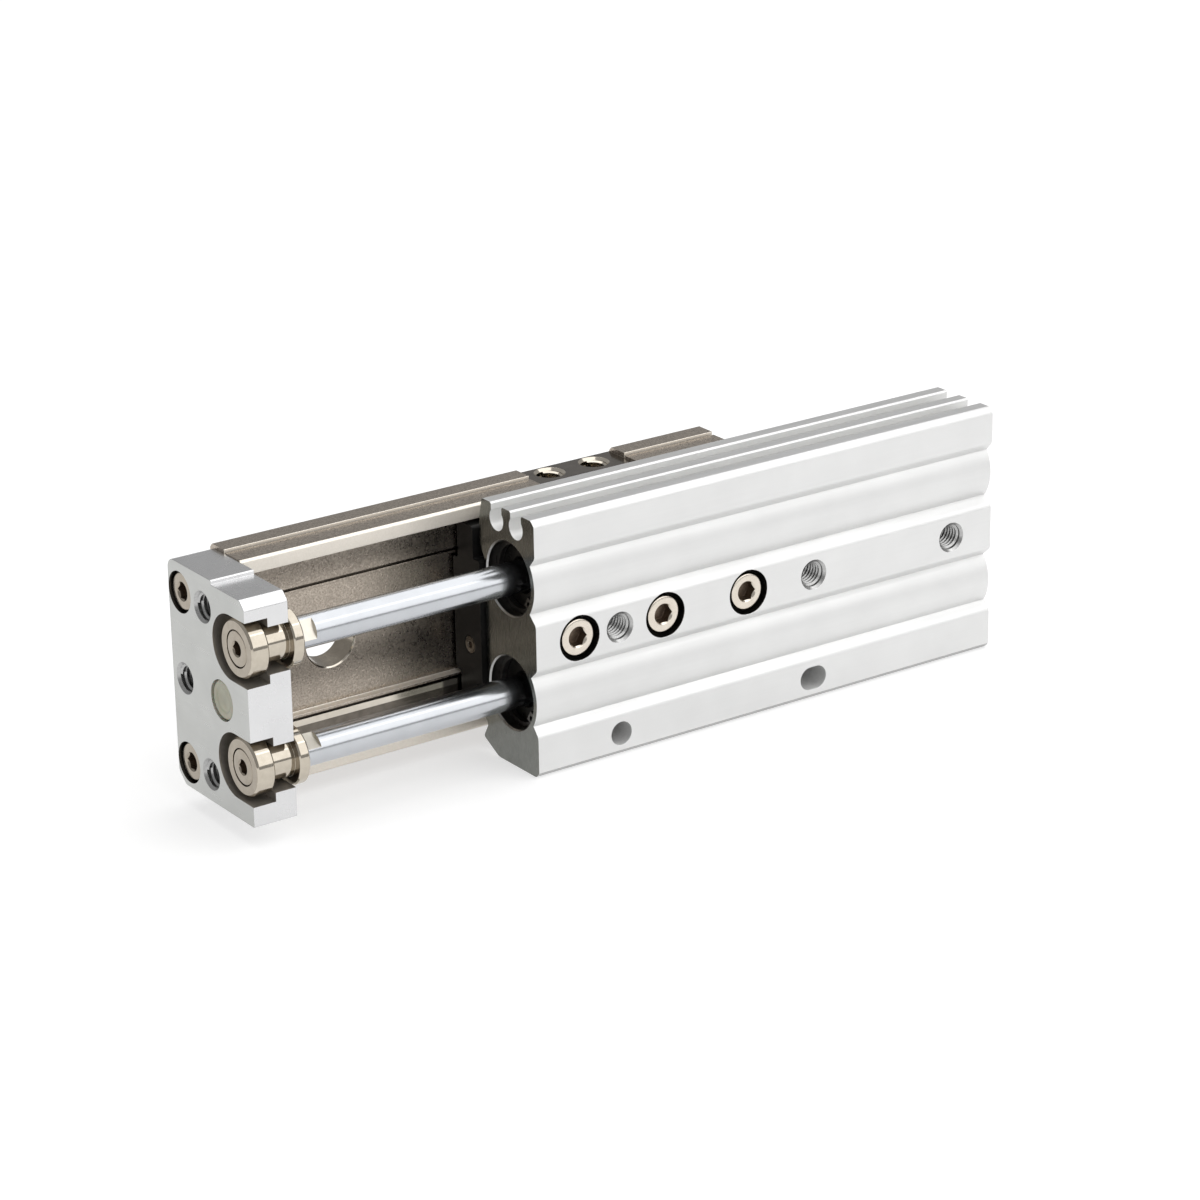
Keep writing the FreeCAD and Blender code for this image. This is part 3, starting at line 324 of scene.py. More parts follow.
groove_radius = 2.2 * mm
groove_height = body_high.z - 5.0 * mm + groove_radius
groove_lip = body_high.z - 0.3 * mm
above_groove = body_high.z + past_face
for groove_depth in (5.8 * mm, 12.1 * mm):
    keyhole = arc((groove_depth, groove_height), groove_radius, 141, 399, 26)
    keyhole += [
        (groove_depth + 1.7 * mm, groove_lip, 0),
        (groove_depth + 2.5 * mm, above_groove, 0),
        (groove_depth - 2.5 * mm, above_groove, 0),
        (groove_depth - 1.7 * mm, groove_lip, 0),
    ]
    cut_away(body, pulled_bar(keyhole, body_low.x - past_face, body_high.x + past_face), groove_silver)
for face in body.data.polygons:
    if finish_of(body, face) == groove_silver and face.center.z > groove_lip - 0.01 * mm:
        give_finish(body, face, satin_silver)

mounts = {mount["name"]: mount for mount in frame["record"]["mounts"]}


# The two holes of a mount whose row runs along X
def along_row(mount):
    middle = Vector(mounts[mount]["pos_m"])
    half = Vector((mounts[mount]["dims"]["spacing_x_mm"] * mm / 2, 0, 0))
    return [middle - half, middle + half]


def drilled_hole(radius, depth, steps=72):
    return turned([(-past_face, 0), (-past_face, radius), (depth, radius), (depth, 0)], steps=steps)


def screw_seat(head_radius, head_depth, shank_radius, depth):
    return turned([(-past_face, 0), (-past_face, head_radius), (head_depth, head_radius),
                   (head_depth, shank_radius), (depth, shank_radius), (depth, 0)])


def tapped_hole(radius, depth):
    lead = 0.5 * mm
    drill_point = 0.55 * radius
    return turned([(-past_face, 0), (-past_face, radius + past_face + lead), (lead, radius),
                   (depth, radius), (depth + drill_point, 0)])


first_guide_screw = 9.6
guide_screw_pitch = 19.3
guide_screw_places = [Vector((body_low.x + (first_guide_screw + guide_screw_pitch * step) * mm, 0, 0))
                      for step in range(3)]
for place in guide_screw_places:
    # The counterbore walls take the near-black colour, painted shade around the heads.
    cut_away(body, placed(screw_seat(4.4 * mm, 4.8 * mm, 2.15 * mm, 17 * mm), place, from_near), bore_shade)

thread_radius = mounts["body_thread_rear"]["dims"]["r_mm"] * mm
mount_thread_depth = 8 * mm
rear_thread = Vector(mounts["body_thread_rear"]["pos_m"]) * Vector((1, 0, 1))
mount_threads = [*along_row("body_thread_pair"), rear_thread]
for place in mount_threads:
    cut_away(body, placed(tapped_hole(thread_radius, mount_thread_depth), place, from_near), cut_aluminium_and_shade)

round_hole, slot_hole = along_row("body_through_pair")
pin_radius = 2.3 * mm
back_radius = 2.2 * mm
slot_depth = 9 * mm
through_depth = 20 * mm
slot_reach = 0.75 * mm
pin_hole = [(-past_face, 0), (-past_face, pin_radius), (through_depth, back_radius), (through_depth, 0)]
cut_away(body, placed(turned(pin_hole), round_hole, from_near), drilled_wall)
pin_slot = placed(drilled_hole(pin_radius, slot_depth), slot_hole, from_near)
for way in (1, -1):
    half = [corner for corner in pin_slot.verts if way * (corner.co.x - slot_hole.x) > 0.01 * mm]
    bmesh.ops.translate(pin_slot, verts=half, vec=(way * slot_reach, 0, 0))
cut_away(body, pin_slot, drilled_wall)
behind_slot = slot_depth - past_face
slot_back = [(behind_slot, 0), (behind_slot, back_radius), (through_depth, back_radius), (through_depth, 0)]
cut_away(body, placed(turned(slot_back), slot_hole, from_near), drilled_wall)

port_depth = 5 * mm
ports = [Vector((mounts[port]["pos_m"][0], mounts[port]["pos_m"][1], body_low.z))
         for port in ("front_air_port", "rear_air_port")]
for place in ports:
    cut_away(body, placed(tapped_hole(thread_radius, port_depth), place, from_below), cut_aluminium_and_shade)

merge_distance = 0.03 * mm
sharp_angle = math.radians(28)


# Breaks every sharp edge and keeps the flats flat, once points that cuts left almost together are merged
def break_edges(piece, width, segments=3):
    whole = bmesh.new()
    whole.from_mesh(piece.data)
    bmesh.ops.remove_doubles(whole, verts=whole.verts, dist=merge_distance)
    bmesh.ops.dissolve_degenerate(whole, edges=whole.edges, dist=merge_distance)
    whole.to_mesh(piece.data)
    whole.free()
    piece.data.shade_smooth()
    edges = piece.modifiers.new("broken_edges", "BEVEL")
    edges.width = width
    edges.segments = segments
    edges.limit_method = "ANGLE"
    edges.angle_limit = sharp_angle
    edges.harden_normals = True
    edges.use_clamp_overlap = True
    flats = piece.modifiers.new("flat_faces", "WEIGHTED_NORMAL")
    flats.keep_sharp = True


def on_body(piece, body, slot, *nodes):
    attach(piece, body)
    if nodes:
        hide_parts(*nodes)


break_edges(body, 0.14 * mm)
on_body(body, "cylinder", "anodised_aluminium", "body")

# Threads of the body: cut with a tap into the mounting holes and the two air ports, bare aluminium.
# Each is a ridge wound about its hole, with its root sunk in the wall.
thread_pitch = 0.8 * mm
ridge_start = 0.45 * mm
root_sink = 0.04 * mm
steps_per_turn = 32


def thread_ridge(radius, pitch, depth):
    root = radius + root_sink
    crest = radius - 0.5 * pitch
    section = (
        (ridge_start, root),
        (ridge_start + 0.34 * pitch, crest),
        (ridge_start + 0.5 * pitch, crest),
        (ridge_start + 0.84 * pitch, root),
    )
    coil = bmesh.new()
    corners = [coil.verts.new((along, distance, 0)) for along, distance in section]
    sides = [coil.edges.new(pair) for pair in zip(corners, corners[1:] + corners[:1])]
    turns = int((depth - ridge_start) / pitch) - 1
    bmesh.ops.spin(coil, geom=corners + sides, cent=(0, 0, 0), axis=(1, 0, 0),
                   dvec=(pitch / steps_per_turn, 0, 0), angle=math.tau * turns, steps=steps_per_turn * turns)
    bmesh.ops.edgeloop_fill(coil, edges=[edge for edge in coil.edges if edge.is_boundary])
    bmesh.ops.recalc_face_normals(coil, faces=coil.faces)
    return coil


def ridges_at(places, radius, pitch, depth, pointing=from_front):
    return [placed(thread_ridge(radius, pitch, depth), place, pointing) for place in places]


def joined(shapes):
    whole = bmesh.new()
    for shape in shapes:
        mesh = bpy.data.meshes.new("shape")
        shape.to_mesh(mesh)
        shape.free()
        whole.from_mesh(mesh)
        bpy.data.meshes.remove(mesh)
    return whole


body_ridges = ridges_at(mount_threads, thread_radius, thread_pitch, mount_thread_depth, from_near)
body_ridges += ridges_at(ports, thread_radius, thread_pitch, port_depth, from_below)
on_body(new_piece("body_threads", joined(body_ridges), cut_aluminium_and_shade), "cylinder", "anodised_aluminium")

# Guide block: the hardened steel half of the linear guide, ground all over.
# It is a T-shaped bar with a ball track along each wing, screwed to the body's far side.
block_low, block_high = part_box("guide_block")
track_radius = 1.6 * mm
track_depth = 22.3 * mm
track_heights = (19.1 * mm, -19.1 * mm)
block_track_length = 60 * mm
guide_half = [
    (block_low.y, 12.6 * mm, 0.3 * mm),
    (18.4 * mm, 12.6 * mm, 0.4 * mm),
    (18.4 * mm, block_high.z, 0.4 * mm),
    (24.2 * mm, block_high.z, 0.4 * mm),
    (24.2 * mm, 11.5 * mm, 0.4 * mm),
    (block_high.y, 11.5 * mm, 0.4 * mm),
]
ground_steel = start_finish("ground_steel", metallic=1.0)
colour_between(ground_steel, 3 * mm, (0.50, 0.49, 0.48), (0.58, 0.57, 0.555))
roughness_between(ground_steel, 0.25 * mm, 0.16, 0.30, pulled_marks)
guide_bar = pulled_bar(guide_half + mirrored(guide_half), block_low.x, block_high.x)
block = new_piece("guide_bar", guide_bar, ground_steel)
for height in track_heights:
    track = drilled_hole(track_radius, block_track_length)
    cut_away(block, placed(track, (block_low.x, track_depth, height)))
break_edges(block, 0.12 * mm)
on_body(block, "cylinder", "ground_steel", "guide_block")

# Return covers: black moulded plastic caps on the two ends of the guide block.
# The balls turn back inside them; each is held by two small screws in counterbores.
black_plastic = start_finish("black_plastic", metallic=0.0)
shader_of(black_plastic).inputs["Specular IOR Level"].default_value = 0.2
colour_between(black_plastic, 2 * mm, (0.006, 0.006, 0.006), (0.012, 0.0115, 0.011))
roughness_between(black_plastic, 0.3 * mm, 0.36, 0.50)
relief(black_plastic, 0.12 * mm, 0.006 * mm)
cover_thickness = 4 * mm
cover_inset = 0.3 * mm
cover_half = [
    (block_low.y + cover_inset, 12.3 * mm, 0.4 * mm),
    (18.7 * mm, 12.3 * mm, 0.3 * mm),
    (18.7 * mm, block_high.z - cover_inset, 0.8 * mm),
    (23.9 * mm, block_high.z - cover_inset, 0.8 * mm),
    (23.9 * mm, 11.2 * mm, 0.4 * mm),
    (block_high.y - cover_inset, 11.2 * mm, 0.6 * mm),
]
cover_screw_places = [(20.6 * mm, 5.2 * mm), (20.6 * mm, -5.2 * mm)]
cover_faces = {
    "front": (block_low.x - cover_thickness, from_front),
    "rear": (block_high.x + cover_thickness, from_rear),
}
for end, (outer_face, pointing) in cover_faces.items():
    cover_node = end + "_return_cover"
    cover_low, cover_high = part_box(cover_node)
    cover_bar = pulled_bar(cover_half + mirrored(cover_half), cover_low.x, cover_high.x)
    cover = new_piece(end + "_cover", cover_bar, black_plastic)
    for depth, height in cover_screw_places:
        sink = drilled_hole(1.8 * mm, 1.2 * mm, steps=40)
        cut_away(cover, placed(sink, (outer_face, depth, height), pointing))
    break_edges(cover, 0.25 * mm)
    on_body(cover, "cylinder", "black_plastic", cover_node)

# Screws of the return covers: four small socket screws, nickel plated, coloured dark as painted shade.
# Each is turned with a rounded head, its hexagon is pressed in, and it sits in a counterbore of its cover.
# Dark steel colour that stands for shade: on the cover screws, and in the table's relief grooves, side pocket
# and lower shoulder.
shaded_steel = start_finish("shaded_steel", metallic=1.0)
colour_between(shaded_steel, 1.5 * mm, (0.13, 0.114, 0.096), (0.19, 0.168, 0.143))
roughness_between(shaded_steel, 0.2 * mm, 0.14, 0.24, pulled_marks)

# Hex sockets coloured dark brown, painted shade inside the sockets.
shaded_socket = start_finish("shaded_socket", metallic=1.0)
colour_between(shaded_socket, 0.5 * mm, (0.15, 0.115, 0.085), (0.25, 0.195, 0.15))
roughness_between(shaded_socket, 0.2 * mm, 0.38, 0.52)


def socket_screw(plating, head_radius, head_height, shank_radius, length, socket, socket_depth):
    rounding = 0.12 * head_radius
    outside = [(0, 0), (0, head_radius - rounding), (0.3 * rounding, head_radius - 0.3 * rounding),
               (rounding, head_radius), (head_height, head_radius), (head_height, shank_radius),
               (length, shank_radius), (length, 0)]
    screw = new_piece("screw", turned(outside, steps=48), plating, shaded_socket)
    corner_radius = socket / math.sqrt(3)
    hexagon = bmesh.new()
    bmesh.ops.create_cone(hexagon, cap_ends=True, segments=6, radius1=corner_radius, radius2=corner_radius,
                          depth=2 * socket_depth)
    bmesh.ops.rotate(hexagon, verts=hexagon.verts, matrix=Matrix.Rotation(math.pi / 2, 3, "Y"))
    cut_away(screw, hexagon, shaded_socket)
    dimple_depth = 0.12 * socket
    dimple = turned([(0, 0), (0, socket * 0.62), (dimple_depth, 0.5 * socket), (dimple_depth, 0)], steps=48)
    cut_away(screw, placed(dimple, (-0.001 * mm, 0, 0)))
    shape = bmesh.new()
    shape.from_mesh(screw.data)
    bpy.data.objects.remove(screw)
    return shape


# Like screws as one piece with broken edges
def screw_set(name, plating, screws, width, segments=3):
    piece = new_piece(name, joined(screws), plating, shaded_socket)
    break_edges(piece, width, segments)
    return piece


cover_screws = []
for outer_face, pointing in cover_faces.values():
    for depth, height in cover_screw_places:
        small_screw = socket_screw(
            shaded_steel, head_radius=1.7 * mm, head_height=1.2 * mm, shank_radius=1.0 * mm, length=8 * mm,
            socket=1.2 * mm, socket_depth=0.6 * mm)
        cover_screws.append(placed(small_screw, (outer_face, depth, height), pointing))
cover_screw_set = screw_set("cover_screws", shaded_steel, cover_screws, 0.05 * mm, segments=2)
on_body(cover_screw_set, "cylinder", "bright_nickel", "return_cover_screws")

# Guide screws: three larger socket screws, nickel plated, through the body into the guide block.
# Their heads sit a little below the mounting face in counterbores.
bright_nickel = start_finish("bright_nickel", metallic=1.0)
colour_between(bright_nickel, 1.2 * mm, (0.66, 0.60, 0.52), (0.72, 0.66, 0.58))
roughness_between(bright_nickel, 0.2 * mm, 0.15, 0.26)
relief(bright_nickel, 0.25 * mm, 0.003 * mm)
head_sink = 0.5 * mm
guide_screws = []
for place in guide_screw_places:
    long_screw = socket_screw(
        bright_nickel, head_radius=3.6 * mm, head_height=4.3 * mm, shank_radius=2.0 * mm, length=22.3 * mm,
        socket=3.4 * mm, socket_depth=2.2 * mm)
    guide_screws.append(placed(long_screw, place + Vector((0, head_sink, 0)), from_near))
guide_screw_set = screw_set("block_screws", bright_nickel, guide_screws, 0.1 * mm)
on_body(guide_screw_set, "cylinder", "bright_nickel", "guide_screws")

# Table: the moving channel of the guide, steel nickel-plated over a blasted skin, ground where the balls run.
# Its section is pulled along X; work is bolted to the flat outer face and stops to the pocket in its side.
table_low, table_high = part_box("table")
blasted_nickel = start_finish("blasted_nickel", metallic=1.0)
colour_between(blasted_nickel, 0.35 * mm, (0.30, 0.258, 0.215), (0.50, 0.44, 0.375), spread=0.16, detail=4.0)
roughness_between(blasted_nickel, 0.8 * mm, 0.24, 0.34)
relief(blasted_nickel, 0.35 * mm, 0.05 * mm, strength=0.6)

# Ground nickel, the real finish where the balls run and on the flange ends; on the lower step it is a painted
# highlight.
ground_nickel_and_highlight = start_finish("ground_nickel_and_highlight", metallic=0.6)
colour_between(ground_nickel_and_highlight, 0.3 * mm, (0.88, 0.82, 0.73), (0.97, 0.91, 0.82))
roughness_between(ground_nickel_and_highlight, 0.2 * mm, 0.40, 0.50, pulled_marks)

# Turned nickel coloured well below the plating's own colour, as painted shade: on the spools' end faces, the
# heads of the plate and joint screws and the wall of the table's access hole.
shaded_turned_nickel = start_finish("shaded_turned_nickel", metallic=1.0)
colour_between(shaded_turned_nickel, 1.2 * mm, (0.34, 0.30, 0.245), (0.40, 0.355, 0.295))
roughness_between(shaded_turned_nickel, 0.12 * mm, 0.13, 0.24, turned_marks)

# Lapped nickel, the real finish of the side holes, thread ridges and access chamfer; on the lower shoulder it
# is a painted highlight band.
lapped_nickel_and_highlight = start_finish("lapped_nickel_and_highlight", metallic=1.0)
colour_between(lapped_nickel_and_highlight, 2 * mm, (0.60, 0.55, 0.47), (0.68, 0.63, 0.55))
roughness_between(lapped_nickel_and_highlight, 0.2 * mm, 0.09, 0.15, pulled_marks)

shoulder_depth = 24.6 * mm
step_height = 11.9 * mm
channel_half = [
    (table_high.y, 21.9 * mm, 0.15 * mm),
    (30.2 * mm, table_high.z, 0.15 * mm),
    (26.0 * mm, table_high.z, 0.1 * mm),
    (26.0 * mm, 21.8 * mm, 0),
    (25.6 * mm, 21.8 * mm, 0),
    (25.6 * mm, 22.2 * mm, 0.1 * mm),
    (20.6 * mm, 22.2 * mm, 0.1 * mm),
    (table_low.y, 21.8 * mm, 0.1 * mm),
    (table_low.y, 19.3 * mm, 0.2 * mm),
    (shoulder_depth, 19.3 * mm, 0.4 * mm),
    (shoulder_depth, 14.1 * mm, 0),
    (shoulder_depth, 12.9 * mm, 0.1 * mm),
    (25.5 * mm, 12.9 * mm, 0),
    (25.5 * mm, 12.4 * mm, 0),
    (shoulder_depth, 12.4 * mm, 0.1 * mm),
    (shoulder_depth, step_height, 0.1 * mm),
    (26.2 * mm, step_height, 0.3 * mm),
]
channel = pulled_bar(channel_half + mirrored(channel_half), table_low.x, table_high.x)
table = new_piece("table_bar", channel, blasted_nickel, ground_nickel_and_highlight, shaded_steel, lapped_nickel_and_highlight,
                  shaded_turned_nickel)
table_track_length = 120 * mm
for height in track_heights:
    track = drilled_hole(track_radius, table_track_length)
    cut_away(table, placed(track, (table_low.x, track_depth, height)))

access_place = (table_low.x + 21.2 * mm, 23 * mm, 0.3 * mm)
access_profile = [(0, 0), (0, 5.35 * mm), (3.2 * mm, 5.35 * mm), (3.45 * mm, 5.1 * mm), (8 * mm, 4.5 * mm),
                  (10 * mm, 4.5 * mm), (10 * mm, 0)]
# The hole's wall takes the darker turned nickel, painted shade.
cut_away(table, placed(turned(access_profile), access_place, from_near), shaded_turned_nickel)

from_above = (0, 0, -1)
from_far = (0, -1, 0)
table_thread_depth = 5 * mm
pocket_size = (21.8 * mm, 14 * mm, 2 * mm)
side_threads = along_row("table_side_pair")
side_thread_radius = mounts["table_side_pair"]["dims"]["hole_r_mm"] * mm
pocket_place = (table_low.x + 76.3 * mm, 25.5 * mm, side_threads[0].z + 1 * mm)
pocket = bmesh.new()
bmesh.ops.create_cube(pocket, size=1.0)
bmesh.ops.scale(pocket, verts=pocket.verts, vec=pocket_size)
# The pocket's faces take the dark steel colour, painted shade.
cut_away(table, placed(pocket, pocket_place), shaded_steel)
for place in side_threads:
    side_hole = tapped_hole(side_thread_radius, table_thread_depth)
    cut_away(table, placed(side_hole, place, from_above), lapped_nickel_and_highlight)

work_middle = Vector(mounts["table_thread_corners"]["pos_m"])
work_sizes = mounts["table_thread_corners"]["dims"]
work_half_row = work_sizes["spacing_x_mm"] * mm / 2
work_half_gap = work_sizes["spacing_y_mm"] * mm / 2
work_thread_radius = work_sizes["hole_r_mm"] * mm
work_threads = [work_middle + Vector((along * work_half_row, 0, up * work_half_gap))
                for along in (-1, 0, 1) for up in (-1, 1)]
for place in work_threads:
    work_hole = tapped_hole(work_thread_radius, table_thread_depth)
    cut_away(table, placed(work_hole, place, from_far), ground_nickel_and_highlight)


def within(value, limits):
    return limits[0] < value < limits[1]


# Limits, in millimetres, of the faces that are ground or lapped, and of those painted with shade or with a
# highlight
flange_end_depth = 20.7
ball_side_depth = 24.4
ball_side_height = 20.8
land_height = 22.0
inner_relief = {"depths": (24.7, 25.6), "heights": (12.2, 13.1)}
outer_relief = {"depths": (25.5, 26.1), "heights": (21.75, 22.1)}
step_depths = (24.5, 26.3)
shoulder_depths = (24.5, 24.7)
lower_shoulder_top = -12.9
highlight_band_height = 14.1
pocket_end_height = 20
mostly = 0.5
for face in table.data.polygons:
    depth = face.center.y / mm
    height = abs(face.center.z) / mm
    lengthwise = abs(face.normal.x) < mostly
    faces_near = face.normal.y < -mostly
    ground = (depth < flange_end_depth or (depth < ball_side_depth and height < ball_side_height)
              or (faces_near and height > land_height))
    in_relief = any(within(depth, groove["depths"]) and within(height, groove["heights"])
                    for groove in (inner_relief, outer_relief))
    lower_step = (face.normal.z > mostly and within(depth, step_depths)
                  and abs(face.center.z + step_height) < 0.2 * mm)
    lower_shoulder = faces_near and within(depth, shoulder_depths) and face.center.z / mm < lower_shoulder_top
    if lengthwise and ground:
        give_finish(table, face, ground_nickel_and_highlight)
    # The relief grooves take the dark steel colour, painted shade.
    if lengthwise and in_relief:
        give_finish(table, face, shaded_steel)
    if abs(face.normal.x) > square_on and finish_of(table, face) == shaded_steel and height > pocket_end_height:
        give_finish(table, face, blasted_nickel)
    # The lower step alone, which looks up, takes the bright ground colour as a painted highlight.
    if lower_step:
        give_finish(table, face, ground_nickel_and_highlight)
    if finish_of(table, face) == shaded_turned_nickel and face.normal.y < -0.3:
        give_finish(table, face, lapped_nickel_and_highlight)
    # On the lower shoulder only: a bright band as painted highlight, and below it the dark steel colour as
    # painted shade.
    if lower_shoulder:
        give_finish(table, face, lapped_nickel_and_highlight if height < highlight_band_height else shaded_steel)
break_edges(table, 0.15 * mm)
on_body(table, "carriage", "nickel_plated_steel", "table")

# Threads of the table: six for the work on the outer face and two in the side pocket.
# They are cut with a tap into the steel before it is plated, so their ridges shine as the plating does.
work_thread_pitch = 0.7 * mm
table_ridges = ridges_at(side_threads, side_thread_radius, thread_pitch, table_thread_depth, from_above)
table_ridges += ridges_at(work_threads, work_thread_radius, work_thread_pitch, table_thread_depth, from_far)
on_body(new_piece("table_threads", joined(table_ridges), lapped_nickel_and_highlight), "carriage", "nickel_plated_steel")

# End plate: the aluminium plate that joins the table to the rods, milled and anodised.
# Two slots open to the near side take the joint spools; two screws hold it to the table.
plate_low, plate_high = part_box("end_plate")
plate_corner = arc((29.0 * mm, 20.0 * mm), 2.0 * mm, 0, 90, 8)
plate_section = [
    (plate_low.y, 19.7 * mm, 0.4 * mm),
    (plate_low.y, plate_low.z, 0.4 * mm),
    (28.6 * mm, plate_low.z, 0.5 * mm),
    (plate_high.y, -19.2 * mm, 0.5 * mm),
    *plate_corner,
    (15.5 * mm, plate_high.z, 0.35 * mm),
    (15.5 * mm, 21.2 * mm, 0.1 * mm),
    (5.8 * mm, 21.2 * mm, 0.4 * mm),
]
milled_silver = start_finish("milled_silver", metallic=1.0)
colour_between(milled_silver, 7 * mm, (0.67, 0.67, 0.675), (0.72, 0.72, 0.725))
roughness_between(milled_silver, 3 * mm, 0.25, 0.29)
relief(milled_silver, 0.2 * mm, 0.0004 * mm)

# Faces of the plate square to X: faced, and coloured darker than the milled sides as painted shade.
shaded_faced_silver = start_finish("shaded_faced_silver", metallic=1.0)
colour_between(shaded_faced_silver, 7 * mm, (0.455, 0.46, 0.445), (0.51, 0.515, 0.50))
roughness_between(shaded_faced_silver, 0.4 * mm, 0.27, 0.33, marks=(1, 0.05, 1))
relief(shaded_faced_silver, 0.2 * mm, 0.0006 * mm)

slot_wall = start_finish("slot_wall", metallic=0.7)
colour_between(slot_wall, 1.5 * mm, (0.36, 0.335, 0.30), (0.44, 0.41, 0.37))
roughness_between(slot_wall, 0.3 * mm, 0.30, 0.40, marks=(1, 1, 0.1))

plate_bar = pulled_bar(plate_section, plate_low.x, plate_high.x)
end_edges = [edge for edge in plate_bar.edges
             if any(abs(face.normal.x) > square_on for face in edge.link_faces)]
bmesh.ops.bevel(plate_bar, geom=end_edges, offset=0.3 * mm, segments=3, profile=0.5, affect="EDGES",
                clamp_overlap=True, material=-1)
plate = new_piece("front_plate", plate_bar, milled_silver, bore_shade, shaded_faced_silver, cut_aluminium_and_shade, slot_wall)
for face in plate.data.polygons:
    # Faces square to X take the darker faced colour, painted shade.
    if abs(face.normal.x) > square_on:
        give_finish(plate, face, shaded_faced_silver)

slot_centre = 9.75 * mm
head_slot = (6.15 * mm, plate_low.x - past_face, plate_low.x + 4.6 * mm)
neck_slot = (4.45 * mm, plate_low.x + 4 * mm, plate_high.x + past_face)
for height in cylinder_heights.values():
    for slot_radius, start, stop in (head_slot, neck_slot):
        slot = arc((slot_centre, height), slot_radius, -90, 90, 28)
        slot += [(0, height + slot_radius, 0), (0, height - slot_radius, 0)]
        cut_away(plate, pulled_bar(slot, start, stop), slot_wall)

plate_screw_places = [Vector((plate_low.x, 27 * mm, side * 16.4 * mm)) for side in (1, -1)]
for place in plate_screw_places:
    # The counterbore walls take the near-black colour, painted shade around the heads.
    cut_away(plate, placed(screw_seat(3.9 * mm, 4.6 * mm, 2.15 * mm, 10 * mm), place), bore_shade)

pair_middle = Vector(mounts["end_plate_thread_pair"]["pos_m"])
pair_half = mounts["end_plate_thread_pair"]["dims"]["spacing_y_mm"] * mm / 2
plate_threads = [pair_middle + Vector((0, 0, side * pair_half)) for side in (1, -1)]
for place in plate_threads:
    cut_away(plate, placed(tapped_hole(thread_radius, 10 * mm), place), cut_aluminium_and_shade)
far_thread = Vector((plate_low.x, *mounts["end_plate_thread_far"]["pos_m"][1:]))
far_thread_depth = 7 * mm
cut_away(plate, placed(tapped_hole(thread_radius, far_thread_depth), far_thread), cut_aluminium_and_shade)

bumper_depth = 13.7 * mm
cut_away(plate, placed(drilled_hole(3.85 * mm, 10 * mm), (plate_low.x, bumper_depth, 0)))
break_edges(plate, 0.14 * mm)
on_body(plate, "carriage", "anodised_aluminium", "end_plate")

# Threads of the end plate: two through holes and a blind one for tooling on the plate's outer face.
# They are cut with a tap after anodising, so their ridges are bare aluminium.
through_thread_depth = 8.6 * mm
plate_ridges = ridges_at(plate_threads, thread_radius, thread_pitch, through_thread_depth)
plate_ridges += ridges_at([far_thread], thread_radius, thread_pitch, far_thread_depth)
on_body(new_piece("plate_threads", joined(plate_ridges), cut_aluminium_and_shade), "carriage", "anodised_aluminium")

# Screws of the end plate: two nickel-plated socket screws from the plate into the end of the table.
# Their heads are sunk in counterbores of the plate's outer face.
# Their heads take the darker turned nickel, painted shade.
plate_screws = []
for place in plate_screw_places:
    plate_screw = socket_screw(
        shaded_turned_nickel, head_radius=3.6 * mm, head_height=4.1 * mm, shank_radius=2.0 * mm, length=16.3 * mm,
        socket=3.0 * mm, socket_depth=2.0 * mm)
    plate_screws.append(placed(plate_screw, place + Vector((head_sink, 0, 0))))
plate_screw_set = screw_set("plate_screws", shaded_turned_nickel, plate_screws, 0.1 * mm)
on_body(plate_screw_set, "carriage", "bright_nickel", "end_plate_screws")

# Bumper: a pale urethane plug, cast, a little see-through at its rim and pressed into the end plate.
# Its nose meets the front cover of the guide at the end of the return stroke.
bumper_low, bumper_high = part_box("end_bumper")
bumper_length = bumper_high.x - bumper_low.x
pale_urethane = start_finish("pale_urethane", metallic=0.0)
colour_between(pale_urethane, 2 * mm, (0.56, 0.55, 0.42), (0.66, 0.65, 0.52))
shader_of(pale_urethane).inputs["Roughness"].default_value = 0.42
shader_of(pale_urethane).inputs["Subsurface Weight"].default_value = 0.3
shader_of(pale_urethane).inputs["Subsurface Scale"].default_value = 1.5 * mm
bumper_profile = [(0.25 * mm, 0), (0.25 * mm, 2.2 * mm), (0, 2.6 * mm), (0, 3.4 * mm), (0.4 * mm, 3.8 * mm),
                  (8.5 * mm, 3.8 * mm), (8.5 * mm, 2.7 * mm), (bumper_length, 2.5 * mm), (bumper_length, 0)]
plug = placed(turned(bumper_profile), (bumper_low.x, bumper_depth, 0))
bumper = new_piece("stop_bumper", plug, pale_urethane)
break_edges(bumper, 0.15 * mm)
on_body(bumper, "carriage", "pale_urethane", "end_bumper")

# Joint spools: turned nickel-plated collars that hang in the slots of the end plate and let the rods float.
# The wide head sits in the outer slot, the neck passes the narrow slot, the flange stands behind the plate.
polished_nickel = start_finish("polished_nickel", metallic=1.0)
colour_between(polished_nickel, 1.2 * mm, (0.50, 0.45, 0.375), (0.56, 0.51, 0.43))
roughness_between(polished_nickel, 0.12 * mm, 0.06, 0.12, turned_marks)
spool_sizes = [(2.4, 2.0), (2.4, 3.5), (0, 3.5), (0, 5.1), (0.4, 5.5), (3.3, 5.5), (3.6, 5.2), (3.6, 3.75),
               (8.6, 3.75), (8.6, 5.2), (8.9, 5.5), (10.5, 5.5), (10.8, 5.2), (10.8, 2.0)]
spool_profile = [(along * mm, radius * mm) for along, radius in spool_sizes]
spool_places = {}
for side, height in cylinder_heights.items():
    spool_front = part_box("joint_spool_" + side)[0].x
    spool_places[side] = (spool_front, rod_depth, height)
    collar = placed(turned(spool_profile, ring=True, steps=96), spool_places[side])
    spool = new_piece("spool_" + side, collar, shaded_turned_nickel, polished_nickel)
    # End faces take the darker turned nickel as painted shade, the sides the polished nickel.
    for face in spool.data.polygons:
        give_finish(spool, face, polished_nickel if abs(face.normal.x) < square_on else shaded_turned_nickel)
    break_edges(spool, 0.08 * mm)
    on_body(spool, "carriage", "bright_nickel", "joint_spool_" + side)

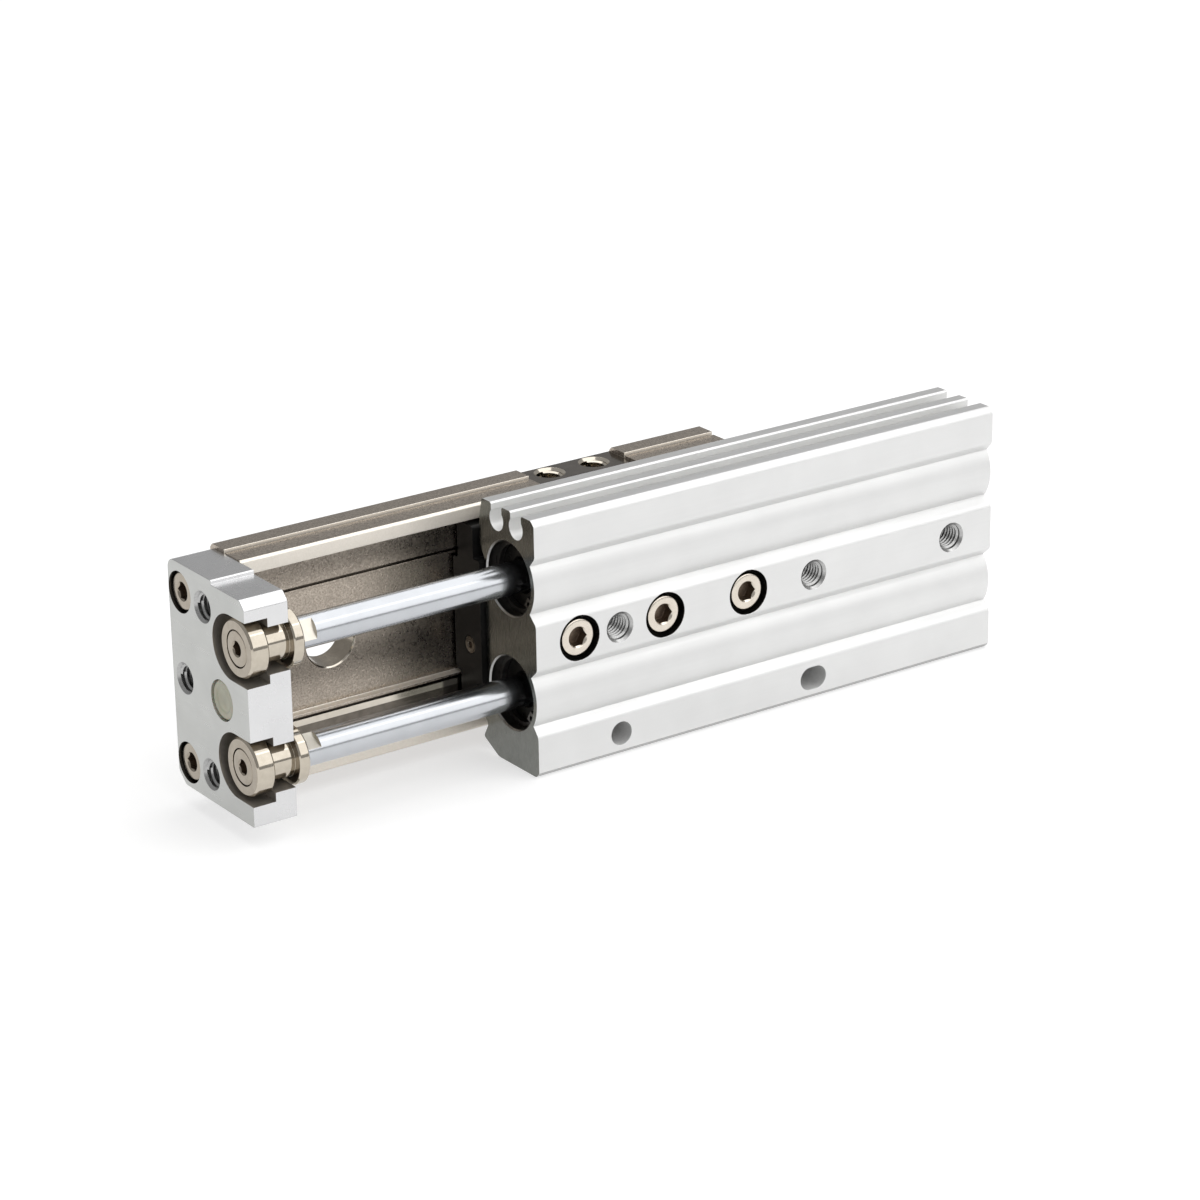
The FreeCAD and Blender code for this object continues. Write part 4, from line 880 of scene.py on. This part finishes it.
# Joint screws: nickel-plated socket screws through the spools into the ends of the rods.
# They clamp the spools to the rods, and their heads lie flush in the spools.
# Their heads take the darker turned nickel, painted shade.
joint_screws = []
for place in spool_places.values():
    joint_screw = socket_screw(
        shaded_turned_nickel, head_radius=3.4 * mm, head_height=2.4 * mm, shank_radius=2.0 * mm, length=18.8 * mm,
        socket=2.5 * mm, socket_depth=1.5 * mm)
    joint_screws.append(placed(joint_screw, place))
joint_screw_set = screw_set("spool_screws", shaded_turned_nickel, joint_screws, 0.08 * mm)
on_body(joint_screw_set, "carriage", "bright_nickel", "joint_screws")

# Rods: ground steel bars, hard-chromed, that carry the pull of the pistons to the spools.
# Two wrench flats are milled at the joint end, and stand as each rod happened to be tightened.
milled_steel = start_finish("milled_steel", metallic=0.8)
colour_between(milled_steel, 1.2 * mm, (0.70, 0.66, 0.58), (0.77, 0.73, 0.65))
roughness_between(milled_steel, 0.2 * mm, 0.28, 0.36, turned_marks)

hard_chrome = start_finish("hard_chrome", metallic=1.0)
colour_between(hard_chrome, 4 * mm, (0.51, 0.525, 0.55), (0.55, 0.565, 0.59))
roughness_between(hard_chrome, 0.15 * mm, 0.19, 0.24, marks=(1, 0.05, 0.05))

rod_radius = 3 * mm
rod_lead = 0.3 * mm
flat_size = (5 * mm, 8 * mm, 2 * mm)
flat_middle = 1.3 * mm
flat_offset = 3.3 * mm
flat_turns = {"upper": 62, "lower": 28}
for side, height in cylinder_heights.items():
    rod_low, rod_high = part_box("rod_" + side)
    rod_length = rod_high.x - rod_low.x
    rod_profile = [(0, 0), (0, rod_radius - rod_lead), (rod_lead, rod_radius), (rod_length, rod_radius),
                   (rod_length, 0)]
    rod = new_piece("rod_bar_" + side, turned(rod_profile), hard_chrome, milled_steel)
    flat_turn = Matrix.Rotation(math.radians(flat_turns[side]), 3, "X")
    for way in (1, -1):
        mill = bmesh.new()
        bmesh.ops.create_cube(mill, size=1.0)
        bmesh.ops.scale(mill, verts=mill.verts, vec=flat_size)
        bmesh.ops.translate(mill, verts=mill.verts, vec=(flat_middle, 0, way * flat_offset))
        bmesh.ops.rotate(mill, verts=mill.verts, matrix=flat_turn)
        cut_away(rod, mill, milled_steel)
    rod.data.transform(Matrix.Translation((rod_low.x, rod_depth, height)))
    break_edges(rod, 0.06 * mm, segments=2)
    on_body(rod, "carriage", "hard_chrome", "rod_" + side)

# Glands, seals, rings, caps, pistons and balls: the small parts inside the bores and the guide.
# They are turned aluminium, moulded rubber, stamped spring steel and polished balls, each held by its seat,
# and keep the shapes they have in the frame.
plain_aluminium = start_finish("plain_aluminium", metallic=1.0)
colour_between(plain_aluminium, 1.5 * mm, (0.50, 0.50, 0.50), (0.60, 0.60, 0.595))
roughness_between(plain_aluminium, 0.1 * mm, 0.28, 0.42, turned_marks)

# Near black metal, used for the rod glands.
near_black_metal = start_finish("near_black_metal", metallic=1.0)
colour_between(near_black_metal, 1.5 * mm, (0.015, 0.015, 0.0145), (0.03, 0.0295, 0.0285))
roughness_between(near_black_metal, 0.1 * mm, 0.26, 0.40, turned_marks)

spring_steel = start_finish("spring_steel", metallic=1.0)
colour_between(spring_steel, 0.8 * mm, (0.09, 0.088, 0.085), (0.16, 0.155, 0.15))
roughness_between(spring_steel, 0.3 * mm, 0.28, 0.45)

black_rubber = start_finish("black_rubber", metallic=0.0)
shader_of(black_rubber).inputs["Specular IOR Level"].default_value = 0.2
colour_between(black_rubber, 0.8 * mm, (0.012, 0.012, 0.012), (0.03, 0.03, 0.03))
roughness_between(black_rubber, 0.3 * mm, 0.5, 0.7)

bearing_steel = start_finish("bearing_steel", metallic=1.0)
colour_between(bearing_steel, 1.5 * mm, (0.62, 0.62, 0.63), (0.70, 0.70, 0.71))
roughness_between(bearing_steel, 0.2 * mm, 0.06, 0.12)

magnet_plastic = start_finish("magnet_plastic", metallic=0.0)
colour_between(magnet_plastic, 0.5 * mm, (0.03, 0.028, 0.027), (0.06, 0.056, 0.053))
shader_of(magnet_plastic).inputs["Roughness"].default_value = 0.5

inner_finishes = {
    "rod_gland": near_black_metal, "head_cap": plain_aluminium, "piston": plain_aluminium,
    "rod_seal": black_rubber, "gland_oring": black_rubber, "cap_oring": black_rubber,
    "piston_seal": black_rubber, "piston_bumper": black_rubber, "piston_magnet": magnet_plastic,
    "gland_ring": spring_steel, "cap_ring": spring_steel, "guide_balls": bearing_steel,
}
for part, finish in inner_finishes.items():
    for side in cylinder_heights:
        frame["nodes"][part + "_" + side].material_slots[0].material = finish

# Studio: a white floor under the part, one large soft box at the front right and one overhead.
# The floor shows white to the camera and in the metal, and keeps the part's shadow.
floor_shape = bmesh.new()
bmesh.ops.create_grid(floor_shape, x_segments=1, y_segments=1, size=6.0)
bmesh.ops.translate(floor_shape, verts=floor_shape.verts, vec=(0, 0, cad_box[0].z))
white_floor = start_finish("white_floor", metallic=0.0)
floor_shader = shader_of(white_floor)
floor_shader.inputs["Base Color"].default_value = (0.58, 0.58, 0.58, 1)
floor_shader.inputs["Roughness"].default_value = 0.9
floor_shader.inputs["Specular IOR Level"].default_value = 0.0
floor_shader.inputs["Emission Color"].default_value = (1, 1, 1, 1)
floor_tree = white_floor.node_tree
light_path = floor_tree.nodes.new("ShaderNodeLightPath")
seen_or_mirrored = floor_tree.nodes.new("ShaderNodeMath")
seen_or_mirrored.operation = "MAXIMUM"
shown = floor_tree.nodes.new("ShaderNodeMath")
shown.operation = "MAXIMUM"
floor_glow = floor_tree.nodes.new("ShaderNodeMath")
floor_glow.operation = "MULTIPLY"
floor_glow.inputs[1].default_value = 0.55
floor_tree.links.new(light_path.outputs["Is Camera Ray"], seen_or_mirrored.inputs[0])
floor_tree.links.new(light_path.outputs["Is Glossy Ray"], seen_or_mirrored.inputs[1])
floor_tree.links.new(seen_or_mirrored.outputs["Value"], shown.inputs[0])
floor_tree.links.new(light_path.outputs["Is Transmission Ray"], shown.inputs[1])
floor_tree.links.new(shown.outputs["Value"], floor_glow.inputs[0])
floor_tree.links.new(floor_glow.outputs["Value"], floor_shader.inputs["Emission Strength"])
new_piece("floor", floor_shape, white_floor)

world = bpy.data.worlds.new("studio")
world.use_nodes = True
world.node_tree.nodes["Background"].inputs["Color"].default_value = (0.40, 0.40, 0.40, 1)
bpy.context.scene.world = world
part_middle = (cad_box[0] + cad_box[1]) / 2


# A soft box of a width, a height and a brightness, turned to face the part
def soft_box(name, place, width, height, brightness):
    lamp = bpy.data.lights.new(name, "AREA")
    lamp.shape = "RECTANGLE"
    lamp.size = width
    lamp.size_y = height
    lamp.energy = brightness * math.pi * width * height
    stand = bpy.data.objects.new(name, lamp)
    stand.location = part_middle + Vector(place)
    stand.rotation_euler = (-Vector(place)).to_track_quat("-Z", "Y").to_euler()
    stand.visible_camera = False
    bpy.context.scene.collection.objects.link(stand)


soft_box("front_box", place=(0.45, -1.25, 0.85), width=2.2, height=1.3, brightness=1.27)
soft_box("top_box", place=(0.35, 0.05, 1.25), width=1.8, height=1.7, brightness=1.28)

# Camera: the photograph's view, from the front left and a little above.
# A long lens, turned a touch about its own axis, set where the part's edges meet those of the photograph.
azimuth = math.radians(34.81)
elevation = math.radians(20.88)
roll = math.radians(-0.97)
towards = Vector((-math.sin(azimuth) * math.cos(elevation),
                  -math.cos(azimuth) * math.cos(elevation),
                  math.sin(elevation)))
level = Vector((math.cos(azimuth), -math.sin(azimuth), 0))
upright = towards.cross(level)
across = level * math.cos(roll) + upright * math.sin(roll)
camera_data = bpy.data.cameras.new("camera")
camera_data.sensor_width = 36
camera_data.lens = 117.15
camera_data.clip_start = 0.01
camera = bpy.data.objects.new("camera", camera_data)
camera.matrix_world = Matrix((across, towards.cross(across), towards)).transposed().to_4x4()
camera.location = (-419.49 * mm, -546.41 * mm, 260.24 * mm)
bpy.context.scene.collection.objects.link(camera)
bpy.context.scene.camera = camera
bpy.context.scene.view_settings.view_transform = "Standard"
